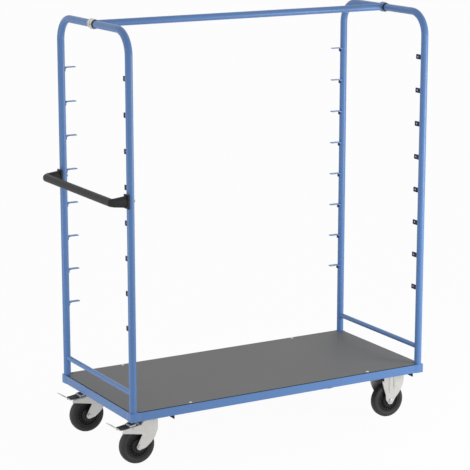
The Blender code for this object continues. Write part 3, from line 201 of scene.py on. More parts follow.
class Finish:
    """One material: its node tree and its Principled shader."""

    def __init__(self, name):
        self.material = bpy.data.materials.new(name)
        self.material.use_nodes = True
        self.tree = self.material.node_tree
        self.shader = self.tree.nodes["Principled BSDF"]

    def node(self, kind, settings=None, sockets=None, output=0):
        """Adds a node: first its settings, then the values or links of its sockets."""
        node = self.tree.nodes.new(kind)
        for name, value in (settings or {}).items():
            setattr(node, name, value)
        for name, value in (sockets or {}).items():
            self.feed(node.inputs[name], value)
        return Value(self, node.outputs[output])

    def feed(self, socket, value):
        if isinstance(value, Value):
            self.tree.links.new(value.socket, socket)
        else:
            socket.default_value = value

    def place(self, stretch=(1, 1, 1)):
        """Where a point lies on the piece, in metres, with each axis stretched as given."""
        where = self.node("ShaderNodeTexCoord", output="Object")
        if stretch == (1, 1, 1):
            return where
        return self.node("ShaderNodeVectorMath", {"operation": "MULTIPLY"}, {0: where, 1: stretch})

    def noise(self, place, scale, detail=2.0, roughness=0.5):
        return self.node("ShaderNodeTexNoise", {}, {"Vector": place, "Scale": scale, "Detail": detail,
                                                    "Roughness": roughness})

    def cells(self, place, scale):
        return self.node("ShaderNodeTexVoronoi", {}, {"Vector": place, "Scale": scale})

    def mix(self, share, first, second):
        """A colour between two colours."""
        return self.node("ShaderNodeMix", {"data_type": "RGBA"}, {0: share, 6: first, 7: second}, output=2)

    def bump(self, height, depth, under=None):
        sockets = {"Height": height, "Distance": depth, "Strength": 1.0}
        if under:
            sockets["Normal"] = under
        return self.node("ShaderNodeBump", {}, sockets)

    def set(self, **sockets):
        """Sets or links sockets of the shader, underscores in a name standing for spaces."""
        for name, value in sockets.items():
            self.feed(self.shader.inputs[name.replace("_", " ")], value)
        return self.material


def tinted(colour, factor):
    """A lighter or darker form of a colour, with its alpha."""
    return (*(min(1.0, part * factor) for part in colour), 1.0)


def powder_coat(name, tone, gloss, coat):
    """Powder coat: a faint orange peel, a slow drift of tone and a few rubbed spots."""
    finish = Finish(name)
    place = finish.place()
    drift = finish.noise(place, scale=4, detail=3)
    peel = finish.noise(place, scale=620, detail=1.5)
    grain = finish.noise(place, scale=2600, detail=1)
    rubbed = finish.noise(place, scale=38, detail=5, roughness=0.62).above(0.66, 0.78)
    colour = finish.mix(drift, tinted(tone, 0.94), tinted(tone, 1.06))
    colour = finish.mix(rubbed * 0.20, colour, tinted(tone, 1.5))
    relief = finish.bump(grain, depth=0.00001, under=finish.bump(peel, depth=0.00006))
    return finish.set(Base_Color=colour, Roughness=0.36 + drift * 0.10 + rubbed * 0.10, Normal=relief,
                      Specular_IOR_Level=gloss, Coat_Weight=coat, Coat_Roughness=0.22)


def filmed_board(name, tone):
    """Filmed board: a fine pressed grain, a faint lengthwise streak and light scuffs."""
    finish = Finish(name)
    place = finish.place()
    cloud = finish.noise(place, scale=3, detail=4)
    streak = finish.noise(finish.place((2, 60, 2)), scale=5, detail=4)
    speckle = finish.noise(place, scale=900, detail=2)
    grain = finish.cells(place, scale=420)
    scuff = finish.noise(finish.place((3, 28, 3)), scale=9, detail=6, roughness=0.7).above(0.62, 0.75)
    colour = finish.mix(cloud * 0.5 + streak * 0.5, tinted(tone, 0.90), tinted(tone, 1.10))
    colour = finish.mix(speckle.above(0.42, 0.75) * 0.30, colour, tinted(tone, 1.45))
    colour = finish.mix(scuff * 0.18, colour, tinted(tone, 1.7))
    relief = finish.bump(speckle, depth=0.00004, under=finish.bump(grain, depth=0.00010))
    return finish.set(Base_Color=colour, Roughness=0.50 + cloud * 0.12 - scuff * 0.08, Normal=relief)


def sealed_edge(name, tone):
    """Edge of the board: dark sealer over the layers of the ply."""
    finish = Finish(name)
    layers = finish.noise(finish.place((4, 4, 700)), scale=1.0, detail=2)
    grain = finish.noise(finish.place((60, 60, 900)), scale=3, detail=3)
    colour = finish.mix(layers.above(0.40, 0.60), tinted(tone, 0.7), tinted(tone, 1.5))
    return finish.set(Base_Color=colour, Roughness=0.66 + grain * 0.14, Normal=finish.bump(grain, depth=0.0001))


def plated(name, tone, metal, rough):
    """Zinc plate: soft mottling, a fine grain and a few dull spots."""
    finish = Finish(name)
    place = finish.place()
    mottle = finish.noise(place, scale=55, detail=4, roughness=0.6)
    fine = finish.noise(place, scale=900, detail=2)
    dull = finish.noise(place, scale=120, detail=4, roughness=0.65).above(0.60, 0.72)
    colour = finish.mix(mottle, tinted(tone, 0.90), tinted(tone, 1.10))
    colour = finish.mix(dull * 0.35, colour, tinted(tone, 0.76))
    return finish.set(Base_Color=colour, Metallic=metal, Roughness=rough + mottle * 0.12 + dull * 0.14,
                      Normal=finish.bump(fine, depth=0.00002, under=finish.bump(mottle, depth=0.0001)))


def moulded(name, tone, grain_scale, rough, depth, gloss):
    """Moulded plastic with an even spark-eroded grain."""
    finish = Finish(name)
    place = finish.place()
    cloud = finish.noise(place, scale=24, detail=3)
    grain = finish.noise(place, scale=grain_scale, detail=2)
    worn = finish.noise(place, scale=70, detail=4, roughness=0.6).above(0.60, 0.75)
    colour = finish.mix(cloud, tinted(tone, 0.88), tinted(tone, 1.14))
    colour = finish.mix(worn * 0.25, colour, tinted(tone, 1.6))
    return finish.set(Base_Color=colour, Roughness=rough + cloud * 0.10 - worn * 0.08,
                      Normal=finish.bump(grain, depth=depth), Specular_IOR_Level=gloss)


def tyre_rubber(name, tone):
    """Matt rubber with a fine grain and a little dust where it rolls."""
    finish = Finish(name)
    place = finish.place()
    cloud = finish.noise(place, scale=30, detail=4)
    grain = finish.noise(place, scale=1400, detail=2)
    dust = finish.noise(place, scale=90, detail=5, roughness=0.65).above(0.50, 0.72)
    colour = finish.mix(cloud, tinted(tone, 0.86), tinted(tone, 1.16))
    colour = finish.mix(dust * 0.22, colour, (0.115, 0.110, 0.102, 1.0))
    return finish.set(Base_Color=colour, Roughness=0.62 + dust * 0.18, Normal=finish.bump(grain, depth=0.00005))


# Each finish: the function that makes it, the name of its colour and the values of that function
FINISHES = {
    "blue_paint": (powder_coat, "paint", {"gloss": 0.5, "coat": 0.12}),
    # The darker navy coat below is painted shade, with less gloss and no clear coat.
    "navy_paint": (powder_coat, "navy", {"gloss": 0.2, "coat": 0.0}),
    "deck_grey": (filmed_board, "deck", {}),
    "board_edge": (sealed_edge, "board_edge", {}),
    "zinc": (plated, "zinc", {"metal": 0.72, "rough": 0.34}),
    "screw_zinc": (plated, "screw", {"metal": 0.25, "rough": 0.42}),
    "black_plastic": (moulded, "plastic", {"grain_scale": 1300, "rough": 0.46, "depth": 0.00005, "gloss": 0.34}),
    "rim_plastic": (moulded, "rim", {"grain_scale": 1500, "rough": 0.44, "depth": 0.00003, "gloss": 0.30}),
    "tread": (moulded, "tread", {"grain_scale": 1300, "rough": 0.55, "depth": 0.00008, "gloss": 0.40}),
    "tyre_rubber": (tyre_rubber, "rubber", {}),
}


def material(name):
    """The finish of that name, made once."""
    found = bpy.data.materials.get(name)
    if found and found.get("trolley"):
        return found
    if found:
        found.name = "packed_" + name
    maker, colour, values = FINISHES[name]
    made = maker(name, getattr(bpy.context.scene.trolley_colours, colour), **values)
    made["trolley"] = True
    return made


# Mesh tools

def arc(centre, radius, start, end, steps):
    """Points on an arc, angles in degrees, both ends included."""
    angles = [math.radians(start + (end - start) * i / steps) for i in range(steps + 1)]
    return [(centre[0] + radius * math.cos(a), centre[1] + radius * math.sin(a)) for a in angles]


def eased(points, radius, steps=3):
    """A closed outline with its corners rounded; a rounding takes less than half of a side."""
    most = 0.45
    out = []
    for i, corner in enumerate(points):
        before, here, after = Vector(points[i - 1]), Vector(corner), Vector(points[(i + 1) % len(points)])
        back = min(radius, (before - here).length * most)
        ahead = min(radius, (after - here).length * most)
        start = here + (before - here).normalized() * back
        end = here + (after - here).normalized() * ahead
        for k in range(steps + 1):
            t = k / steps
            out.append(tuple(start * (1 - t) ** 2 + here * 2 * t * (1 - t) + end * t ** 2))
    return out


def lofted(bm, rings, closed=False):
    """A skin over rings of as many points each. Closed joins the last ring to the first, else both get caps."""
    loops = [[bm.verts.new(point) for point in ring] for ring in rings]
    pairs = list(zip(loops, loops[1:])) + ([(loops[-1], loops[0])] if closed else [])
    for first, second in pairs:
        for i in range(len(first)):
            j = (i + 1) % len(first)
            bm.faces.new((first[i], first[j], second[j], second[i]))
    if not closed:
        bm.faces.new(loops[0])
        bm.faces.new(loops[-1])


def swept(bm, path, radius, sides, up, loop=False):
    """A round bar along a path. A function of the step may stand for the radius."""
    up = Vector(up)
    path = [Vector(point) for point in path]
    rings = []
    for i, point in enumerate(path):
        last = path[i - 1] if i or loop else point
        following = path[(i + 1) % len(path)] if i + 1 < len(path) or loop else point
        along = (following - last).normalized()
        side = along.cross(up).normalized()
        rise = side.cross(along)
        size = radius(i) if callable(radius) else radius
        rings.append([point + (side * math.cos(a) + rise * math.sin(a)) * size
                      for a in (math.tau * k / sides for k in range(sides))])
    lofted(bm, rings, closed=loop)


def prism(bm, outline, low, high, plane):
    """An outline in the plane xy or xz, carried from low to high across it."""
    place = {"xy": lambda a, b, t: (a, b, t), "xz": lambda a, b, t: (a, t, b)}[plane]
    lofted(bm, [[place(a, b, low) for a, b in outline], [place(a, b, high) for a, b in outline]])


def turned(bm, profile, sides, axis, centre=(0, 0, 0), closed=True):
    """A profile of (radius, height) points spun about an axis through the centre."""
    turn = {"z": Matrix.Identity(3), "y": Matrix.Rotation(math.radians(-90), 3, "X")}[axis]
    centre = Vector(centre)
    rings = []
    for radius, height in profile:
        rings.append([centre + turn @ Vector((radius * math.cos(a), radius * math.sin(a), height))
                      for a in (math.tau * k / sides for k in range(sides))])
    lofted(bm, rings, closed=closed)


def hexagon(angle, flats):
    """Distance from the middle of a hexagon to its edge at an angle."""
    return flats / 2 / math.cos((angle + math.pi / 6) % (math.pi / 3) - math.pi / 6)


def hex_shape(flats, low, high, bore):
    """Rings of a hexagon head, from its seat up over the chamfer and in to the middle or the bore."""
    rise = high - low
    inner = bore or flats * 0.05
    widest, top = flats * 0.515, flats * 0.47
    chamfer, crown = high - rise * 0.16, high - rise * 0.05
    return [(lambda a: hexagon(a, flats), low), (lambda a: hexagon(a, flats), chamfer),
            (lambda a: min(hexagon(a, flats), widest), crown), (lambda a: top, high),
            (lambda a: inner, high), (lambda a: inner, low)]


def socket_shape(width, low, high, recess):
    """Rings of a round head with a hexagon recess."""
    rise = high - low
    shoulder, mouth, floor, tip = (high - rise * share for share in (0.12, 0.08, 0.6, 0.68))
    top, bevel, point = width * 0.47, 1.06, recess * 0.1
    return [(lambda a: width / 2, low), (lambda a: width / 2, shoulder), (lambda a: top, high),
            (lambda a: hexagon(a, recess) * bevel, high), (lambda a: hexagon(a, recess), mouth),
            (lambda a: hexagon(a, recess), floor), (lambda a: point, tip)]


def screw_cap(bm, width, low, high, transform, recess=0.0, bore=0.0):
    """A hexagon head or nut with chamfered corners, or a round head where a recess is given."""
    sides = 48
    shape = socket_shape(width, low, high, recess) if recess else hex_shape(width, low, high, bore)
    angles = [math.tau * k / sides for k in range(sides)]
    lofted(bm, [[transform @ Vector((radius(a) * math.cos(a), radius(a) * math.sin(a), height)) for a in angles]
                for radius, height in shape])


def bead(bm, path, radius, up, loop=False):
    """A weld bead with the ripples of its run."""
    stride, sides = 0.8, 8
    level, ripple, pace = 0.86, 0.20, 1.9
    path = [Vector(point) for point in path]
    fine = []
    count = len(path) if loop else len(path) - 1
    for i in range(count):
        first, second = path[i], path[(i + 1) % len(path)]
        steps = max(1, round((second - first).length / (radius * stride)))
        fine += [first.lerp(second, k / steps) for k in range(steps)]
    if not loop:
        fine.append(path[-1])
    swept(bm, fine, lambda i: radius * (level + ripple * math.sin(i * pace)), sides, up, loop=loop)


def piece(name, bm, finish, body, nodes=(), edge=0.0, angle=40):
    """Turns a bmesh into a piece that rides on a body and stands for the CAD nodes it replaces."""
    bmesh.ops.recalc_face_normals(bm, faces=bm.faces)
    mesh = bpy.data.meshes.new(name)
    bm.to_mesh(mesh)
    bm.free()
    mesh.shade_smooth()
    mesh.materials.append(material(finish))
    made = bpy.data.objects.new(name, mesh)
    bpy.context.scene.collection.objects.link(made)
    if edge:
        soften = made.modifiers.new("edges", "BEVEL")
        soften.width = edge
        soften.segments = 2
        soften.limit_method = "ANGLE"
        soften.angle_limit = math.radians(angle)
        made.modifiers.new("shading", "WEIGHTED_NORMAL")
    else:
        mesh.set_sharp_from_angle(angle=math.radians(angle))
    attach(made, body)
    if nodes:
        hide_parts(*nodes)
    return made


def copied(node):
    """The faces of a CAD node with its flat areas made whole again."""
    same_point, same_plane = 0.00001, math.radians(1.5)
    bm = bmesh.new()
    bm.from_mesh(frame["nodes"][node].data)
    bmesh.ops.remove_doubles(bm, verts=bm.verts, dist=same_point)
    bmesh.ops.dissolve_limit(bm, angle_limit=same_plane, verts=bm.verts, edges=bm.edges)
    return bm


def body_of(node):
    """The body that a CAD node rides on."""
    return frame["nodes"][node]["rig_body"]


def middle(node):
    """The middle of a CAD node's box."""
    low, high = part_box(node)
    return (low + high) / 2


# Pieces

class TROLLEY_OT_deck_frame(bpy.types.Operator):
    """Makes the rolled rails, corner posts and caster channels, their welds and the channels' flanges"""

    bl_idname = "trolley.deck_frame"
    bl_label = "Deck frame"

    def execute(self, context):
        sizes = context.scene.trolley_sizes
        piece("deck_frame", copied("base_frame"), "blue_paint", "trolley", ["base_frame"], sizes.edge * 1.4, 30)
        self.welds(sizes)
        self.flanges(sizes)
        return {"FINISHED"}

    def welds(self, sizes):
        """A ground ramp of weld from the face of each rail up to the flat of the corner post."""
        run, lap, sunk, proud, short = 0.010, 0.006, 0.001, 0.0001, 0.0004
        rail, post = sizes.tube / 2, sizes.post / 2
        ramp = [(post + run, rail + proud), (post + run, rail - sunk), (post - lap, rail - sunk),
                (post - lap, post + proud)]
        bm = bmesh.new()
        for x, inward in ((LEFT_X, 1), (RIGHT_X, -1)):
            for side in (-1, 1):
                long_rail = [(x + inward * a, side * (LEG_Y + b)) for a, b in ramp]
                end_rail = [(x - inward * b, side * (LEG_Y - a)) for a, b in ramp]
                for outline in (long_rail, end_rail):
                    prism(bm, outline, FRAME_LOW + short, FRAME_HIGH - short, "xy")
        piece("frame_welds", bm, "blue_paint", "trolley", edge=sizes.edge)

    def flanges(self, sizes):
        """The flanges turned down along both edges of each caster channel; a length at each end of a flange is
        painted shade in the darker navy.
        """
        inner, outer = 0.0035, 0.0065       # from the edge of the caster plate to the two faces of a flange
        drop, lap, setback, dark = 0.0157, 0.0009, 0.0025, 0.036
        depth = LEG_Y + sizes.tube / 2 - setback
        bare = depth - dark
        # The dark lengths at both ends of each flange get the navy coat as painted shade; the middle keeps the
        # plain blue.
        for name, finish, spans in (("channel_flanges", "blue_paint", [(-bare, bare)]),
                                    ("channel_flange_ends", "navy_paint", [(-depth, -bare), (bare, depth)])):
            bm = bmesh.new()
            for node in ("front_left_plate", "front_right_fork"):
                low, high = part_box(node)
                for near, far in ((low.x - outer, low.x - inner), (high.x + inner, high.x + outer)):
                    for start, end in spans:
                        outline = [(near, start), (far, start), (far, end), (near, end)]
                        prism(bm, outline, FRAME_LOW - drop, FRAME_LOW + lap, "xy")
            piece(name, bm, finish, "trolley", edge=sizes.edge)


class TROLLEY_OT_deck_board(bpy.types.Operator):
    """Makes the filmed deck board with its softened edges"""

    bl_idname = "trolley.deck_board"
    bl_label = "Deck board"

    def execute(self, context):
        sizes = context.scene.trolley_sizes
        sheet = piece("deck_sheet", copied("deck_board"), "deck_grey", "trolley", ["deck_board"], sizes.edge, 50)
        sheet.data.materials.append(material("board_edge"))
        upright = 0.5
        for face in sheet.data.polygons:
            face.material_index = int(abs(face.normal.z) < upright)
        return {"FINISHED"}


def hoop_path(x, bend):
    """Up the front leg, over the top and down the back leg."""
    steps = 20
    front = arc((-LEG_Y + bend, HOOP_TOP - bend), bend, 180, 90, steps)
    back = arc((LEG_Y - bend, HOOP_TOP - bend), bend, 90, 0, steps)
    return [(x, -LEG_Y, HOOP_FOOT)] + [(x, y, z) for y, z in front + back] + [(x, LEG_Y, HOOP_FOOT)]


def lug(bm, x, z, inward):
    """A flat plate with a round hole, welded to the front leg. Gives back the X of its middle."""
    start, end, half_height, half_thickness = -LEG_Y + 0.010, -LEG_Y + 0.0560, 0.011, 0.002
    hole, hole_radius = Vector((-LEG_Y + 0.0445, z)), 0.0042
    rounding, spacing, offset = 0.003, 0.003, 0.003
    corners = [(start, z - half_height), (end, z - half_height), (end, z + half_height), (start, z + half_height)]
    outline = []
    rounded = eased(corners, rounding, 4)
    for i, point in enumerate(rounded):
        here, after = Vector(point), Vector(rounded[(i + 1) % len(rounded)])
        steps = max(1, round((after - here).length / spacing))
        outline += [here.lerp(after, k / steps) for k in range(steps)]
    ring = [hole + (point - hole).normalized() * hole_radius for point in outline]
    middle_x = x + inward * offset
    rings = [[(middle_x + side * half_thickness, p.x, p.y) for p in points]
             for side, points in ((-1, ring), (-1, outline), (1, outline), (1, ring))]
    lofted(bm, rings, closed=True)
    return middle_x


def bracket(bm, x, z, inward):
    """A flat bar bent over: a weld leg down the tube and a tongue that carries the shelf."""
    wall, root, face, reach = 0.004, 0.010, 0.020, 0.065
    half, leg_front, foot = 0.010, 0.001, -0.020
    leg = eased([(root, foot), (face, foot), (face, -0.0035), (face - wall, -0.0015), (root, -wall)], 0.0016, 3)
    prism(bm, [(x + inward * a, z + b) for a, b in leg], LEG_Y - leg_front, LEG_Y + half, "xz")
    before = len(bm.faces)
    tongue = eased([(root, -0.007), (face - 0.0005, -0.007), (face + 0.003, -wall), (reach, -wall), (reach, 0),
                    (face - 0.001, 0), (face - wall, -0.002), (root, -wall)], 0.0018, 3)
    prism(bm, [(x + inward * a, z + b) for a, b in tongue], LEG_Y - half, LEG_Y + half, "xz")
    # The tongue's faces take the plain blue coat (slot 1); the rest of the bracket gets the navy painted shade.
    bm.faces.ensure_lookup_table()
    for part in bm.faces[before:]:
        part.material_index = 1


class TROLLEY_OT_hoops(bpy.types.Operator):
    """Makes the two bent hoops with their drilled lugs, bent brackets and welds"""

    bl_idname = "trolley.hoops"
    bl_label = "Hoops"

    def execute(self, context):
        sizes = context.scene.trolley_sizes
        radius = sizes.tube / 2
        lug_seam, lug_run = 0.003, 0.009
        leg_seams, leg_run = (-0.0015, 0.0105), (-0.018, -0.006)
        for side, x, inward in (("left", LEFT_X, 1), ("right", RIGHT_X, -1)):
            bm = bmesh.new()
            swept(bm, hoop_path(x, sizes.hoop_bend), radius, sizes.tube_sides, (1, 0, 0))
            piece(f"{side}_hoop_tube", bm, "blue_paint", "trolley", [f"{side}_hoop"], sizes.edge, 50)
            bm = bmesh.new()
            for level in LEVELS:
                at = lug(bm, x, level + LUG_RISE, inward)
                bracket(bm, x, level, inward)
                for shift in (-lug_seam, lug_seam):
                    y = -LEG_Y + math.sqrt(radius ** 2 - (at + shift - x) ** 2)
                    low, high = level + LUG_RISE - lug_run, level + LUG_RISE + lug_run
                    bead(bm, [(at + shift, y, low), (at + shift, y, high)], sizes.weld, (1, 0, 0))
                for edge in leg_seams:
                    along = math.sqrt(radius ** 2 - edge ** 2)
                    foot = (x + inward * along, LEG_Y + edge)
                    bead(bm, [(*foot, level + end) for end in leg_run], sizes.weld, (1, 0, 0))
            # The lugs, the weld legs of the brackets and their welds take the darker navy as painted shade; the
            # bracket tongues keep the plain blue coat.
            made = piece(f"{side}_shelf_supports", bm, "navy_paint", "trolley", [f"{side}_hoop"], sizes.edge, 50)
            made.data.materials.append(material("blue_paint"))
        return {"FINISHED"}


class TROLLEY_OT_stretchers(bpy.types.Operator):
    """Makes the low cross tube of each hoop with a weld round each end"""

    bl_idname = "trolley.stretchers"
    bl_label = "Stretchers"

    def execute(self, context):
        sizes = context.scene.trolley_sizes
        thin, leg, gap = sizes.stretcher / 2, sizes.tube / 2, 0.0002
        sides = sizes.tube_sides
        for side, x in (("left", LEFT_X), ("right", RIGHT_X)):
            bm = bmesh.new()
            rings = []
            for end in (-1, 1):
                ring = []
                for a in (math.tau * k / sides for k in range(sides)):
                    across = thin * math.cos(a)
                    y = end * (LEG_Y - math.sqrt(leg ** 2 - across ** 2) - gap)
                    ring.append((x + across, y, STRETCHER_Z + thin * math.sin(a)))
                rings.append(ring)
                bead(bm, ring, sizes.weld, (0, 1, 0), loop=True)
            lofted(bm, rings)
            piece(f"{side}_cross_tube", bm, "blue_paint", "trolley", [f"{side}_stretcher"])
        return {"FINISHED"}


def half_shell(bm, x, outward, width, lip):
    """Half of a tube clamp with two lips; it hugs a tube along Y."""
    inner, split, lip_wall, steps = 0.0163, 0.0015, 0.003, 28
    lip_back = split + lip_wall
    turn = math.degrees(math.acos(split / inner))
    back = math.degrees(math.acos(lip_back / SHELL_RADIUS))
    outline = ([(split, lip), (lip_back, lip)] + arc((0, 0), SHELL_RADIUS, back, -back, steps)
               + [(lip_back, -lip), (split, -lip)] + arc((0, 0), inner, -turn, turn, steps))
    prism(bm, [(x + outward * a, HOOP_TOP + b) for a, b in outline], -width / 2, width / 2, "xz")


class TROLLEY_OT_top_rail(bpy.types.Operator):
    """Makes the top rail, its welded saddles, the clamp liners and the outer clamp shells"""

    bl_idname = "trolley.top_rail"
    bl_label = "Top rail"

    def execute(self, context):
        sizes = context.scene.trolley_sizes
        sides = sizes.tube_sides
        ends = (("left", LEFT_X, 1), ("right", RIGHT_X, -1))
        bm = bmesh.new()
        rings = []
        for side, x, inward in ends:
            rings.append(self.coped(x, inward, sizes.rail / 2, 0.018, sides))
            bead(bm, self.coped(x, inward, sizes.rail / 2, SHELL_RADIUS, sides), sizes.weld, (1, 0, 0), loop=True)
        lofted(bm, rings)
        piece("top_rail_tube", bm, "blue_paint", "trolley", ["top_rail"], sizes.edge, 50)
        liner = [(0.0161, 0.0150), (0.0161, 0.0262), (0.0172, 0.0266), (0.0186, 0.0258), (0.0186, 0.0150)]
        for side, x, inward in ends:
            bm = bmesh.new()
            half_shell(bm, x, inward, width=0.034, lip=0.0205)
            piece(f"{side}_rail_saddle", bm, "blue_paint", "trolley", ["top_rail"], sizes.edge, 50)
            bm = bmesh.new()
            turned(bm, [(radius, -y) for radius, y in liner], sides, "y", (x, 0, HOOP_TOP))
            piece(f"{side}_clamp_liner", bm, "black_plastic", "trolley", angle=50)
        for side, x, inward in ends:
            bm = bmesh.new()
            half_shell(bm, x, -inward, width=0.038, lip=0.0225)
            piece(f"{side}_clamp_shell", bm, "zinc", "trolley", [f"{side}_rail_clamp"], sizes.edge, 50)
        return {"FINISHED"}

    def coped(self, x, inward, radius, hug, sides):
        """Where the round rail meets a round of the radius hug about the tube of the hoop."""
        return [(x + inward * math.sqrt(hug ** 2 - (radius * math.sin(a)) ** 2), radius * math.cos(a),
                 HOOP_TOP + radius * math.sin(a)) for a in (math.tau * k / sides for k in range(sides))]


def handle_rings(sides):
    """Sections of the handle from the front pad, round both mitred corners, to the back pad."""
    bar, cut, mitre, squareness = 0.015, 0.0098, 22.5, 0.85
    corner_x = HANDLE_LOW_X + bar
    front = [(LEFT_X - 0.020, -LEG_Y, 0, 0.0170, 0.0250)]
    wide = bar / math.cos(math.radians(mitre))
    front.append((corner_x + cut, -LEG_Y, math.radians(mitre), wide, 0.0184))
    front.append((corner_x, -LEG_Y + cut, math.radians(90 - mitre), wide, 0.0168))
    back = [(x, -y, math.pi - turn, wide, tall) for x, y, turn, wide, tall in reversed(front)]
    rings = []
    for x, y, turn, wide, tall in front + back:
        across = Vector((math.sin(turn), math.cos(turn), 0))
        ring = []
        for a in (math.tau * k / sides for k in range(sides)):
            c, s = (math.copysign(abs(part) ** squareness, part) for part in (math.cos(a), math.sin(a)))
            ring.append(Vector((x, y, HANDLE_Z)) + across * wide * c + Vector((0, 0, tall * s)))
        rings.append(ring)
    return rings


class TROLLEY_OT_push_handle(bpy.types.Operator):
    """Makes the moulded push handle with the pads that hug the legs"""

    bl_idname = "trolley.push_handle"
    bl_label = "Push handle"

    def execute(self, context):
        bm = bmesh.new()
        lofted(bm, handle_rings(40))
        clear, wrap, back, half_width, half_height = 0.0163, 0.011, 0.0223, 0.021, 0.029
        mouth = math.degrees(math.acos(wrap / clear))
        corners = [(-wrap, -half_width), (-back, -half_width), (-back, half_width), (-wrap, half_width)]
        outline = eased(corners, 0.006, 6) + arc((0, 0), clear, 180 - mouth, 180 + mouth, 20)
        for side in (-1, 1):
            plan = [(LEFT_X + x, side * LEG_Y + y) for x, y in outline]
            prism(bm, plan, HANDLE_Z - half_height, HANDLE_Z + half_height, "xy")
        piece("grip_handle", bm, "black_plastic", "trolley", ["push_handle"], 0.0016, 32)
        return {"FINISHED"}


def web(bm, centre, angle, side):
    """A thin drafted web across the recess of a wheel centre."""
    out = Vector((math.cos(angle), 0, math.sin(angle)))
    across = Vector((-out.z, 0, out.x))
    rings = []
    foot, crest = (0.0013, 0.0310, 0.0462, 0.0105, 0.0105), (0.0009, 0.0312, 0.0460, 0.0158, 0.0150)
    for half, inner, outer, low, high in (foot, crest):
        ring = [(inner, -half, low), (outer, -half, high), (outer, half, high), (inner, half, low)]
        rings.append([centre + out * r + across * a + Vector((0, side * y, 0)) for r, a, y in ring])
    lofted(bm, rings)


class TROLLEY_OT_wheels(bpy.types.Operator):
    """Makes the four wheels: tyre with rounded shoulders, and stepped moulded centre with its webs"""

    bl_idname = "trolley.wheels"
    bl_label = "Wheels"

    def execute(self, context):
        sizes = context.scene.trolley_sizes
        tread, webs = sizes.wheel / 2, 18
        side = [(tread - depth, y) for depth, y in TYRE_SIDE] + [TYRE_SEAT]
        tyre = list(reversed(side)) + [(radius, -y) for radius, y in side[1:]]
        core = list(reversed(CENTRE_SIDE)) + [(radius, -y) for radius, y in CENTRE_SIDE]
        for corner in CORNERS:
            centre = middle(f"{corner}_tyre")
            bm = bmesh.new()
            turned(bm, tyre, sizes.wheel_sides, "y", centre)
            piece(f"{corner}_rubber_tyre", bm, "tyre_rubber", body_of(f"{corner}_tyre"), [f"{corner}_tyre"])
            bm = bmesh.new()
            turned(bm, core, sizes.wheel_sides, "y", centre)
            for facing in (-1, 1):
                for k in range(webs):
                    web(bm, centre, math.tau * k / webs, facing)
            piece(f"{corner}_wheel_centre", bm, "rim_plastic", body_of(f"{corner}_rim"), [f"{corner}_rim"])
        return {"FINISHED"}


def pressed_rib(bm, foot, side, low):
    """An upright rib pressed out of the cheek of a fork; it fades out above the axle."""
    half, rise, high, sunk = 0.0050, 0.0042, 0.1300, 0.0010
    steps, fade, least, narrowest, bow_steps = 12, 4, 0.02, 0.35, 10
    rings = []
    for i in range(steps + 1):
        z = high + (low - high) * i / steps
        full = min(1.0, (steps - i) / fade + least)
        width, height = half * (narrowest + (1 - narrowest) * full), rise * full
        angles = [math.pi * k / bow_steps for k in range(bow_steps + 1)]
        bow = [(width * math.cos(a), height * math.sin(a)) for a in angles]
        ring = [(width, -sunk)] + bow + [(-width, -sunk)]
        rings.append([foot + Vector((x, side * y, z)) for x, y in ring])
    lofted(bm, rings)


class TROLLEY_OT_casters(bpy.types.Operator):
    """Makes the caster forks, plates and races with rounded sheet edges, and their axle bolts"""

    bl_idname = "trolley.casters"
    bl_label = "Casters"

    def execute(self, context):
        sizes = context.scene.trolley_sizes
        cheek, ribs = 0.032, ((-0.006, 0.030), (0.020, 0.044))
        for corner in CORNERS:
            fork = f"{corner}_fork"
            centre = middle(f"{corner}_tyre")
            bm = copied(fork)
            if corner not in SWIVELS:
                for side in (-1, 1):
                    for shift, low in ribs:
                        pressed_rib(bm, centre + Vector((shift, side * cheek, 0)), side, low)
            piece(f"{corner}_housing", bm, "zinc", body_of(fork), [fork], sizes.edge * 1.3, 28)
            self.axle(corner, centre)
        for corner in SWIVELS:
            for part in ("plate", "bearing"):
                node = f"{corner}_{part}"
                piece(f"{corner}_{part}_steel", copied(node), "zinc", body_of(node), [node], sizes.edge, 30)
        for corner in CORNERS:
            self.plate_bolts(corner)
        return {"FINISHED"}

    def axle(self, corner, centre):
        """The hexagon bolt across the fork and its nut."""
        seat, head_top, nut_top = 0.0323, 0.0383, 0.0413
        shank = [(0.006, -0.0332), (0.006, 0.0425), (0.0055, 0.0443)]
        front = Matrix.Translation(centre) @ Matrix.Rotation(math.radians(90), 4, "X")
        back = Matrix.Translation(centre) @ Matrix.Rotation(math.radians(-90), 4, "X")
        bm = bmesh.new()
        screw_cap(bm, 0.017, seat, head_top, front)
        turned(bm, shank, 24, "y", centre, closed=False)
        piece(f"{corner}_axle_bolt", bm, "zinc", body_of(f"{corner}_axle"), [f"{corner}_axle"])
        bm = bmesh.new()
        screw_cap(bm, 0.019, seat, nut_top, back, bore=0.0062)
        piece(f"{corner}_axle_nut", bm, "zinc", body_of(f"{corner}_nut"), [f"{corner}_nut"])

    def plate_bolts(self, corner):
        """Four bolts through a caster plate, with a washer under each head."""
        half_x, half_y, washer_top, head_top = 0.0525, 0.040, 0.0015, 0.0068
        hole, rim, sunk = 0.0045, 0.0078, -0.0001
        washer = [(hole, sunk), (hole, -washer_top), (rim, -washer_top), (rim, sunk)]
        centre = middle(f"{corner}_plate" if corner in SWIVELS else f"{corner}_tyre")
        bm = bmesh.new()
        for dx in (-half_x, half_x):
            for dy in (-half_y, half_y):
                at = Vector((centre.x + dx, centre.y + dy, PLATE_LOW))
                turned(bm, washer, 32, "z", at)
                place = Matrix.Translation(at) @ Matrix.Rotation(math.pi, 4, "X")
                screw_cap(bm, 0.013, washer_top, head_top, place)
        piece(f"{corner}_plate_bolts", bm, "zinc", "trolley")


